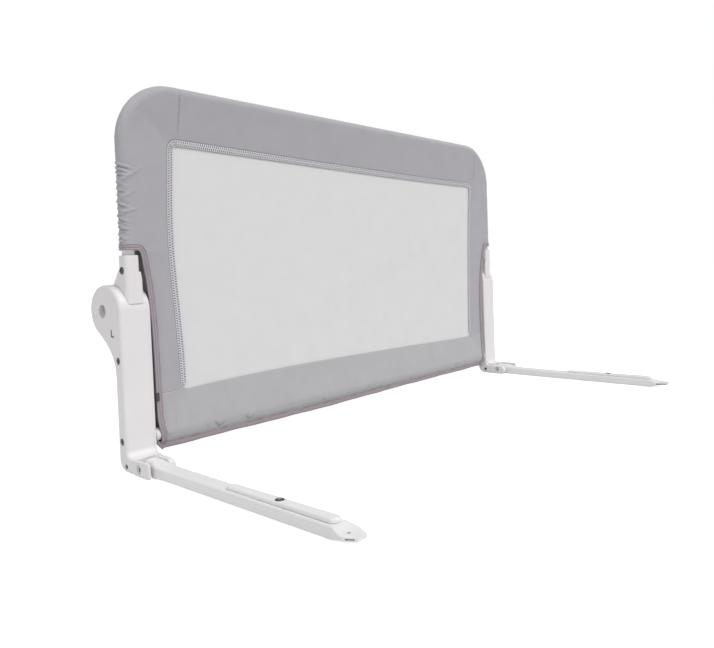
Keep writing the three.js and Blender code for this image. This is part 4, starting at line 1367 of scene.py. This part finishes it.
front_band_folds = band_folds(5.5)
back_band_folds = band_folds(7)
print(len(front_folds + front_band_folds), "folds in front,", len(back_folds + back_band_folds), "behind")

# %% [markdown]
# ## Sewing the cover
# Each piece of cloth is a grid whose columns are the stations and whose rows run out from the window. A
# row's depth comes from half the thickness of the bag there: almost nothing at the window, the sleeve's
# radius at the tube, and about half of that along the open sides. Where the piece goes on round the tube or
# the bar, a second grid follows the circle and is merged on. The flat place of every corner is kept for the
# weave and the folds.

# %% Half the thickness of the bag
edge_half = 1
open_half = 5.3
band_rows = 24
sleeve_rows = 20
sleeve_turn = 90 + touch_lean
cloth_thickness = 0.7


def touch_half(name, point):
    """Half the thickness of the bag on the touching line"""
    full = sleeve_radius * math.cos(math.radians(touch_lean))
    if name in ("sleeve", "bar"):
        return full
    near_foot = math.exp(-max(point[1] - touch_foot, 0) / 35)
    near_top = math.exp(-max(sleeve_foot - point[1], 0) / 45)
    return open_half + (full - open_half) * min(1, near_foot + near_top)


def band_point(station, share, way):
    """A point of the cloth between window and touching line: way is -1 in front and 1 behind"""
    name, window, touch = station
    x = window[0] + (touch[0] - window[0]) * share
    z = window[1] + (touch[1] - window[1]) * share
    half = edge_half + (touch_half(name, touch) - edge_half) * share
    return Vector((x, tube_depth + way * half, z))


def outward(touch):
    """Direction from the inside of the panel to the tube, where the cloth touches the tube"""
    x, z = touch
    from_middle = Vector((x - min(max(x, bend_end), rail_length - bend_end), 0, max(z - bend_foot, 0)))
    return from_middle.normalized()


def sleeve_point(touch, angle):
    """A point on the sleeve: angle runs from sleeve_turn in front, past 0 outermost, to the back"""
    away = outward(touch)
    axis = Vector((touch[0], tube_depth, touch[1])) + (touch_inset - tube_inset) * away
    turn = math.radians(angle)
    return axis + sleeve_radius * (math.cos(turn) * away - math.sin(turn) * Vector((0, 1, 0)))


hem_top = 22.5
hem_depth = -3
bar_profiles = {
    # half the thickness and the height, from the bar down into the hem
    -1: [(9.85, touch_foot), (9.7, 37.4), (9.4, 35), (8.9, 32.6), (8.2, 30.4), (7.3, 28.6), (6.2, 27.2),
         (5.1, 26.2), (4.3, 25), (3.9, hem_top)],
    1: [(9.85, touch_foot), (9.7, 36.2), (8.9, 33.4), (7.5, 30.9), (5.6, 29), (3.4, 27.7), (1, 26.8),
        (-1, 26.1), (-2, 25), (-2.4, hem_top)],
}


# %% Grids of cloth
def grid(bm, columns, rows, place):
    """A grid whose corners go where place says: it gives the point and the flat place of column and row"""
    flat = bm.verts.layers.float_vector.get("flat") or bm.verts.layers.float_vector.new("flat")
    made = bmesh.ops.create_grid(bm, x_segments=columns, y_segments=rows, size=0.5)["verts"]
    for vert in made:
        column = round((vert.co.x + 0.5) * columns)
        row = round((vert.co.y + 0.5) * rows)
        vert.co, vert[flat] = place(column, row)
    return made


def cut_map(bm):
    """Keeps the flat places as a UV map in metres"""
    flat = bm.verts.layers.float_vector["flat"]
    uv = bm.loops.layers.uv.new("cut")
    for face in bm.faces:
        for corner in face.loops:
            corner[uv].uv = corner.vert[flat].xy * mm
    bm.verts.layers.float_vector.remove(flat)


def with_flat_places(bm):
    """For a small piece that isn't a grid: its flat places are its front view"""
    flat = bm.verts.layers.float_vector.new("flat")
    for vert in bm.verts:
        vert[flat] = Vector((vert.co.x, vert.co.z, 0))
    cut_map(bm)
    return bm


# These set the painted shade in narrow fold valleys: where it starts, how fast it grows and how dark it gets.
shade_from = 0.35
shade_gain = 1.2
darkest = 0.5


def sewn(bm, folds, way):
    """Merges the grids, turns the faces out and lays in the folds"""
    bmesh.ops.remove_doubles(bm, verts=bm.verts, dist=0.01)
    bmesh.ops.recalc_face_normals(bm, faces=bm.faces)
    bm.normal_update()
    if sum(face.normal.y * face.calc_area() for face in bm.faces) * way < 0:
        bmesh.ops.reverse_faces(bm, faces=bm.faces)
        bm.normal_update()
    flat = bm.verts.layers.float_vector["flat"]
    # The valley attribute is painted shade that the cloth's finish reads: darker where a narrow valley lies
    # lower.
    valley = bm.verts.layers.float.new("valley")
    cells = near_folds(folds)
    raised = [(vert, vert.normal.copy(), fold_height(cells, *vert[flat][:2])) for vert in bm.verts]
    for vert, normal, (height, narrow) in raised:
        vert.co += normal * height
        vert[valley] = min(darkest, max(0, -shade_gain * narrow - shade_from))
    cut_map(bm)
    return bm


def cover_piece(ring, folds, way):
    """Cloth of one ring of stations, with what goes on round the tube or the bar"""
    bm = bmesh.new()

    def band(column, row):
        point = band_point(ring[column], row / band_rows, way)
        return point, Vector((point.x, point.z, 0))

    def round_tube(column, row):
        touch = sleeve[column][2]
        angle = sleeve_turn * (1 - 2 * row / sleeve_rows)
        away = outward(touch) * sleeve_radius * math.radians(sleeve_turn - angle)
        return sleeve_point(touch, angle), Vector((touch[0] + away.x, touch[1] + away.z, 0))

    def round_bar(column, row):
        touch = bar[column][2]
        half, z = bar_profiles[way][row]
        return Vector((touch[0], tube_depth + way * half, z)), Vector((touch[0], z - 3, 0))

    grid(bm, len(ring) - 1, band_rows, band)
    sleeve = [station for station in ring if station[0] == "sleeve"]
    bar = [station for station in ring if station[0] == "bar"]
    if sleeve and way < 0:
        grid(bm, len(sleeve) - 1, sleeve_rows, round_tube)
    if bar:
        grid(bm, len(bar) - 1, len(bar_profiles[way]) - 1, round_bar)
    return sewn(bm, folds, way)


# %% Two points below and above the hinge, and the cloth pieces
bend_start = to_world @ Vector((0, 0, 146))
bend_stop = to_world @ Vector((0, 0, 258))
for point in (bend_start, bend_stop):
    point.x = 0


def cloth_piece(bm, name, material, nodes=(), thickness=0.0):
    mesh = mesh_of(bm, name)
    mesh.transform(to_world)
    piece = piece_of(mesh, name, material, nodes, 60)
    if thickness:
        wall = piece.modifiers.new("cloth", "SOLIDIFY")
        wall.thickness = thickness * mm
        wall.offset = -1
    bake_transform(piece)
    print(name, len(mesh.polygons), "faces")
    return piece


def layer(name, ring, folds, way, material, slot, nodes=()):
    return cloth_piece(cover_piece(ring, folds, way), name, material, nodes, cloth_thickness)


upper_nodes = ["left_cover_side", "right_cover_side", "cover_top", "left_cover_lower_side",
               "right_cover_lower_side"]
cover_front = layer("cover_front", upper_ring, front_folds, -1, cloth, "cloth", upper_nodes)
cover_back = layer("cover_back", upper_ring, back_folds, 1, cloth, "cloth")
band_front = layer("band_front", lower_ring, front_band_folds, -1, band_cloth, "band_cloth", ["cover_bottom"])
band_back = layer("band_back", lower_ring, back_band_folds, 1, band_cloth, "band_cloth")

# %% [markdown]
# ## The mesh window
# The window is a sheet of fine mesh. Its holes are far smaller than a pixel from a step away, so the sheet
# is one grid, and its knit is in the finish. It runs a little way in between the two layers of the cover.

# %% Mesh window
def window_net():
    """Both ends follow the window's sides, and its top and foot sag a little toward each other"""
    columns, rows = 130, 60
    tuck = 7
    left = at_shares([foot_left[-1], left_split, top_left[0]], even(rows))
    right = at_shares([foot_right[0], right_split, top_right[-1]], even(rows))
    bm = bmesh.new()

    def place(column, row):
        across, up = column / columns, row / rows
        x0, x1 = left[row][0] - tuck / 2, right[row][0] + tuck / 2
        bow = math.sin(math.pi * across)
        low_z = foot_left[0][1] + (foot_right[-1][1] - foot_left[0][1]) * across + 6 * bow
        high_z = top_left[-1][1] + (top_right[0][1] - top_left[-1][1]) * across - 4 * bow
        z = low_z - tuck + (high_z - low_z + 2 * tuck) * up
        x = x0 + (x1 - x0) * across
        return Vector((x, tube_depth + 0.15, z)), Vector((x, z, 0))

    grid(bm, columns, rows, place)
    return sewn(bm, [], -1)


net = cloth_piece(window_net(), "mesh_window", net_cloth, ["net_upper", "net_lower"], 0.3)

# %% [markdown]
# ## Tapes
# A tape is folded over a raw edge and sewn down, so it is a flat strip with rounded edges that follows a
# line on the cloth. Its section is swept along the line: at each point the strip lies along the cloth,
# square to the line, and its thickness stands along the cloth's normal.

# %% Sweeping a tape
def tape_section(width, half, grooves):
    """Across and out of the cloth: round edges, and a sewn groove at each share of the width in grooves"""
    section = [(0, -0.6 * half), (0.08 * width, -half), (0.92 * width, -half), (width, -0.5 * half),
               (width, 0.5 * half), (0.94 * width, 0.9 * half)]
    for groove in sorted(grooves, reverse=True):
        middle = groove * width
        section += [(middle + 0.9, 1.1 * half), (middle + 0.35, 0.75 * half), (middle, 0.3 * half),
                    (middle - 0.35, 0.75 * half), (middle - 0.9, 1.1 * half)]
    return [*section, (0.06 * width, 0.9 * half), (0, 0.5 * half)]


def tape(line, width, half, way=1, grooves=(0.7,), wave=0.0):
    """line lists points with the cloth's normal; the tape lies on the side of the line that way picks"""
    bm = bmesh.new()
    section = tape_section(width, half, grooves)
    points = [Vector(point) for point, _ in line]
    run = [0]
    for a, b in zip(points, points[1:]):
        run.append(run[-1] + (b - a).length)

    def place(column, row):
        here = points[column]
        along = points[min(column + 1, len(points) - 1)] - points[max(column - 1, 0)]
        normal = Vector(line[column][1]).normalized()
        across = way * normal.cross(along).normalized()
        a, b = section[row % len(section)]
        sway = wave * (math.sin(run[column] / 3.7) + math.sin(run[column] / 8.3 + a)) * (a / width)
        point = here + across * a + normal * (b + (sway if b > 0 else 0))
        return point, Vector((run[column], a + (0 if b > 0 else 2 * width), 0))

    grid(bm, len(points) - 1, len(section), place)
    bmesh.ops.remove_doubles(bm, verts=bm.verts, dist=0.005)
    open_edges = [edge for edge in bm.edges if edge.is_boundary]
    bmesh.ops.holes_fill(bm, edges=open_edges, sides=0)
    bmesh.ops.recalc_face_normals(bm, faces=bm.faces)
    cut_map(bm)
    return bm


def rim_line(left, way):
    """The open side from the foot to the sleeve, in front or behind"""
    name = "left_rim" if left else "right_rim"
    low_part = [s for s in lower_ring if s[0] == name]
    high_part = [s for s in upper_ring if s[0] == name]
    pick = low_part + high_part if left else (high_part + low_part)[::-1]
    points = [band_point(station, 1, way) for station in pick]
    spaced = [a for a, b in zip(points, points[1:]) if (b - a).length > 0.05] + points[-1:]
    return [(point, Vector((0, way, 0))) for point in spaced]


def under_bar(left, way):
    """From the hem up to the foot of the open side, along the cloth that hugs the bar"""
    x = rim_x + 3.5 if left else rail_length - rim_x - 3.5
    places = [Vector((x, tube_depth + way * half, z)) for half, z in bar_profiles[way]]
    falls = [(ahead - here).normalized() for here, ahead in zip(places, places[1:])]
    return [(here, way * Vector((0, -fall.z, fall.y))) for here, fall in zip(places, falls)][:0:-1]


def sleeve_end(left):
    """Round the tube at the sleeve's lower end, from the front to the back"""
    touch = (touch_inset if left else touch_right, sleeve_foot)
    line = []
    for angle in range(sleeve_turn - 10, -sleeve_turn, -10):
        point = sleeve_point(touch, angle)
        axis = Vector((tube_inset if left else rail_length - tube_inset, tube_depth, sleeve_foot))
        line.append((point, point - axis))
    return line


def side_binding(left):
    front = under_bar(left, -1) + rim_line(left, -1)
    back = under_bar(left, 1) + rim_line(left, 1)
    return front + sleeve_end(left) + back[::-1]


binding_width = 8.4
for side, left in (("left", True), ("right", False)):
    bound = tape(side_binding(left), binding_width, 1.25, -1 if left else 1, (0.34, 0.74), 0.25)
    cloth_piece(bound, f"{side}_side_binding", binding_cloth)

# %% Hem along the foot
hem_foot = 17.9
hem_width = 8.6


def hem():
    """It sags a little left of the middle, and the thread makes it sway"""
    line = []
    start = rim_x + 6
    count = 340
    for step in range(count + 1):
        x = start + (rail_length - 2 * start) * step / count
        sag = -1.8 * math.exp(-((x - 350) / 150) ** 2)
        sway = 0.5 * math.sin(x / 21) + 0.35 * math.sin(x / 9.1 + 1)
        line.append((Vector((x, tube_depth + hem_depth + sway * 0.4, hem_foot + sag + 0.4 * sway)),
                     Vector((0, -1, 0))))
    return tape(line, hem_width, 1.5, 1, (0.8,), 0.5)


def hem_end(left):
    """The hem's folded corner, a small pleat that points down and outwards"""
    far = rim_x - 0.6
    outline = [(far + 1, 29.4), (far + 5, 28), (far + 11, 27), (far + 17, 25), (far + 15, 20),
               (far + 10, 18.6), (far + 7, 17), (far + 2.6, 21.6), (far - 1.2, 26.8)]
    if not left:
        outline = mirror_x(outline)
    middle = tube_depth + hem_depth
    bm = slab(outline, front_view, middle - 2.3, middle + 2.1, (1.2, 1.2), 3)
    for vert in bm.verts:
        vert.co.y += 0.9 * math.sin(vert.co.x / 2.1) * math.sin(vert.co.z / 3)
    return with_flat_places(bm)


cloth_piece(hem(), "hem_tape", hem_cloth)
for side, left in (("left", True), ("right", False)):
    cloth_piece(hem_end(left), f"{side}_hem_fold", hem_cloth)

# %% A small dark piece on the left binding
dark_cloth = woven("dark_patch_cloth", tone(60, 58, 64), tone(84, 82, 88), 0.0006)


def dark_patch():
    """A small dark slab of cloth in front of the left binding, near its foot"""
    depth = tube_depth - open_half - 4.4
    bm = slab(rounded(rim_x - 1.8, rim_x + 2.6, 82, 93, 1), front_view, depth, depth + 2.2, (0.5, 0.5), 3)
    return with_flat_places(bm)


cloth_piece(dark_patch(), "dark_patch", dark_cloth)

# %% Window edging
edging_width = 8.2
edging_half = 0.4
edging_foot = 93.5
outer_share = 0.22
inner_share = 0.72


def edging_line(way):
    """The outer border of the edging round the window's sides and top"""
    line = []
    for station in upper_ring:
        point = band_point(station, 0, way)
        if point.z > edging_foot and (not line or (point - line[-1]).length > 0.3):
            line.append(point)
    return line


def edging(way):
    """The sewn border: it starts on the cloth's edge and covers the mesh"""
    line = [(point + Vector((0, way * 0.25, 0)), Vector((0, way, 0))) for point in edging_line(way)]
    return tape(line, edging_width, edging_half, way, ())


def thread_of(rows, radius):
    """Sewing thread along rows of points, as a mesh: a curve gives it its round section"""
    path = bpy.data.curves.new("thread", "CURVE")
    path.dimensions = "3D"
    path.bevel_depth = radius
    path.bevel_resolution = 0
    for row in rows:
        spline = path.splines.new("POLY")
        spline.points.add(len(row) - 1)
        for point, place in zip(spline.points, row):
            point.co = (*place, 1)
    holder = bpy.data.objects.new("thread", path)
    bpy.context.collection.objects.link(holder)
    mesh = finished_mesh(holder)
    bpy.data.objects.remove(holder)
    bm = bmesh.new()
    bm.from_mesh(mesh)
    bpy.data.meshes.remove(mesh)
    bmesh.ops.recalc_face_normals(bm, faces=bm.faces)
    for layer in list(bm.loops.layers.uv):
        bm.loops.layers.uv.remove(layer)
    return with_flat_places(bm)


def overlock(way, pitch=3.4, radius=0.24):
    """A zigzag of thread across the edging, and a chain of thread along the mesh"""
    line = edging_line(way)
    reach = sum((b - a).length for a, b in zip(line, line[1:]))
    spots = at_shares([(point.x, point.z) for point in line], even(round(reach / pitch) * 2))
    out = edge_half + edging_half + 0.25 + radius * 0.5
    corners = []
    for step, (x, z) in enumerate(spots):
        ahead = spots[min(step + 1, len(spots) - 1)]
        behind = spots[max(step - 1, 0)]
        along = Vector((ahead[0] - behind[0], 0, ahead[1] - behind[1])).normalized()
        across = Vector((along.z, 0, -along.x))
        inward = edging_width * (outer_share if step % 2 else inner_share)
        corners.append(Vector((x, tube_depth + way * out, z)) + across * inward)
    outer, inner = corners[1::2], corners[::2]
    chain = [point + (point - other) * 0.42 for point, other in zip(inner, outer)]
    return thread_of([corners, chain], radius)


for way, name in ((-1, "front"), (1, "back")):
    cloth_piece(edging(way), f"window_edging_{name}", edge_cloth)
    cloth_piece(overlock(way), f"overlock_{name}", thread)

# %% [markdown]
# ## The cloth's own area
# Two layers, two bands and the window are sheets that were cut flat. A layer is as wide as the rail between
# its outer lines and as high as the frame, plus what goes round the tube, less the window and the cut at
# each post. That leaves only part of the rectangle, so the cloth's own area is printed.

# %% Flat sizes
for piece in (cover_front, cover_back, band_front, band_back, net):
    area = sum(polygon.area for polygon in piece.data.polygons)
    print(piece.name, "covers", round(area, 4), "square metres")

# %% [markdown]
# ## Studio
# The rail stands in a pale room with a broad soft light in front, a weaker one from the left and even light
# from all round. The floor is plain and pale. For the camera alone it is lifted to white, so that the
# object's shadow stays but the floor's far edge does not show.

# %% Floor and light
def stage_material():
    material = finish_of("studio_floor", tone(205, 205, 205), 0.9)
    tree = material.node_tree
    rays = node(material, "LightPath").outputs
    seen = sums(material, "MAXIMUM", rays["Is Camera Ray"], rays["Is Glossy Ray"])
    seen = sums(material, "MAXIMUM", seen, rays["Is Transmission Ray"])
    strength = sums(material, "MULTIPLY", seen, 0.8)
    lift = node(material, "Emission", {"Color": (1, 1, 1, 1), "Strength": strength})
    both = node(material, "AddShader", {0: tree.nodes["Principled BSDF"].outputs[0], 1: lift.outputs[0]})
    tree.links.new(both.outputs[0], tree.nodes["Material Output"].inputs["Surface"])
    return material


def floor():
    bm = bmesh.new()
    bmesh.ops.create_grid(bm, x_segments=4, y_segments=4, size=12)
    bmesh.ops.translate(bm, verts=bm.verts, vec=(0, 0, -0.0006))
    mesh = mesh_of(bm, "floor")
    mesh.materials.append(stage_material())
    plane = bpy.data.objects.new("floor", mesh)
    bpy.context.collection.objects.link(plane)


def room_light():
    """Soft light from all round; the camera itself, also through clear parts, sees white"""
    world = bpy.data.worlds.new("room")
    world.use_nodes = True
    bpy.context.scene.world = world
    tree = world.node_tree
    soft = tree.nodes["Background"]
    soft.inputs["Color"].default_value = (1, 1, 1, 1)
    soft.inputs["Strength"].default_value = 0.45
    seen = node(world, "Background", {"Color": (1, 1, 1, 1), "Strength": 1})
    rays = node(world, "LightPath").outputs
    share = sums(world, "MAXIMUM", rays["Is Camera Ray"], rays["Is Transmission Ray"])
    mixed = node(world, "MixShader", {0: share, 1: soft.outputs[0], 2: seen.outputs[0]})
    tree.links.new(mixed.outputs[0], tree.nodes["World Output"].inputs["Surface"])


def lamp(name, strength, spread, azimuth, height):
    """A broad lamp far away: spread is how many degrees of the room it fills"""
    light = bpy.data.lights.new(name, "SUN")
    light.energy = strength
    light.angle = math.radians(spread)
    holder = bpy.data.objects.new(name, light)
    turn, rise = math.radians(azimuth), math.radians(height)
    source = Vector((math.sin(turn) * math.cos(rise), -math.cos(turn) * math.cos(rise), math.sin(rise)))
    holder.rotation_mode = "QUATERNION"
    holder.rotation_quaternion = source.to_track_quat("Z", "Y")
    bpy.context.collection.objects.link(holder)


floor()
room_light()
lamp("front_light", strength=1.86, spread=35, azimuth=20, height=52)
lamp("side_light", strength=0.76, spread=60, azimuth=-70, height=25)

# %% [markdown]
# ## Camera
# The camera was fitted to the photograph: it stands low, left of the rail and close to its near post, and
# it looks along the rail with a slight roll. The lens follows from the picture's width, and the small shift
# from where the horizon lies in the picture.

# %% Camera
picture_width = 714
focal_pixels = 659.6
horizon_shift_pixels = -35
sensor_width = 36
camera_place = (-0.8576, -0.6155, 0.2512)
camera_angles = (47.98, -2.21, -2.11)


def camera():
    yaw, pitch, roll = (math.radians(angle) for angle in camera_angles)
    ahead = Vector((math.sin(yaw) * math.cos(pitch), math.cos(yaw) * math.cos(pitch), math.sin(pitch)))
    level = Vector((math.cos(yaw), -math.sin(yaw), 0))
    above = level.cross(ahead)
    right = math.cos(roll) * level + math.sin(roll) * above
    up = math.cos(roll) * above - math.sin(roll) * level
    eye = bpy.data.cameras.new("camera")
    eye.sensor_width = sensor_width
    eye.lens = focal_pixels * sensor_width / picture_width
    eye.shift_y = horizon_shift_pixels / picture_width
    holder = bpy.data.objects.new("camera", eye)
    bpy.context.collection.objects.link(holder)
    turned_axes = Matrix((right, up, -ahead)).transposed().to_4x4()
    holder.matrix_world = Matrix.Translation(camera_place) @ turned_axes
    bpy.context.scene.camera = holder


camera()
bpy.context.scene.view_settings.view_transform = "Standard"
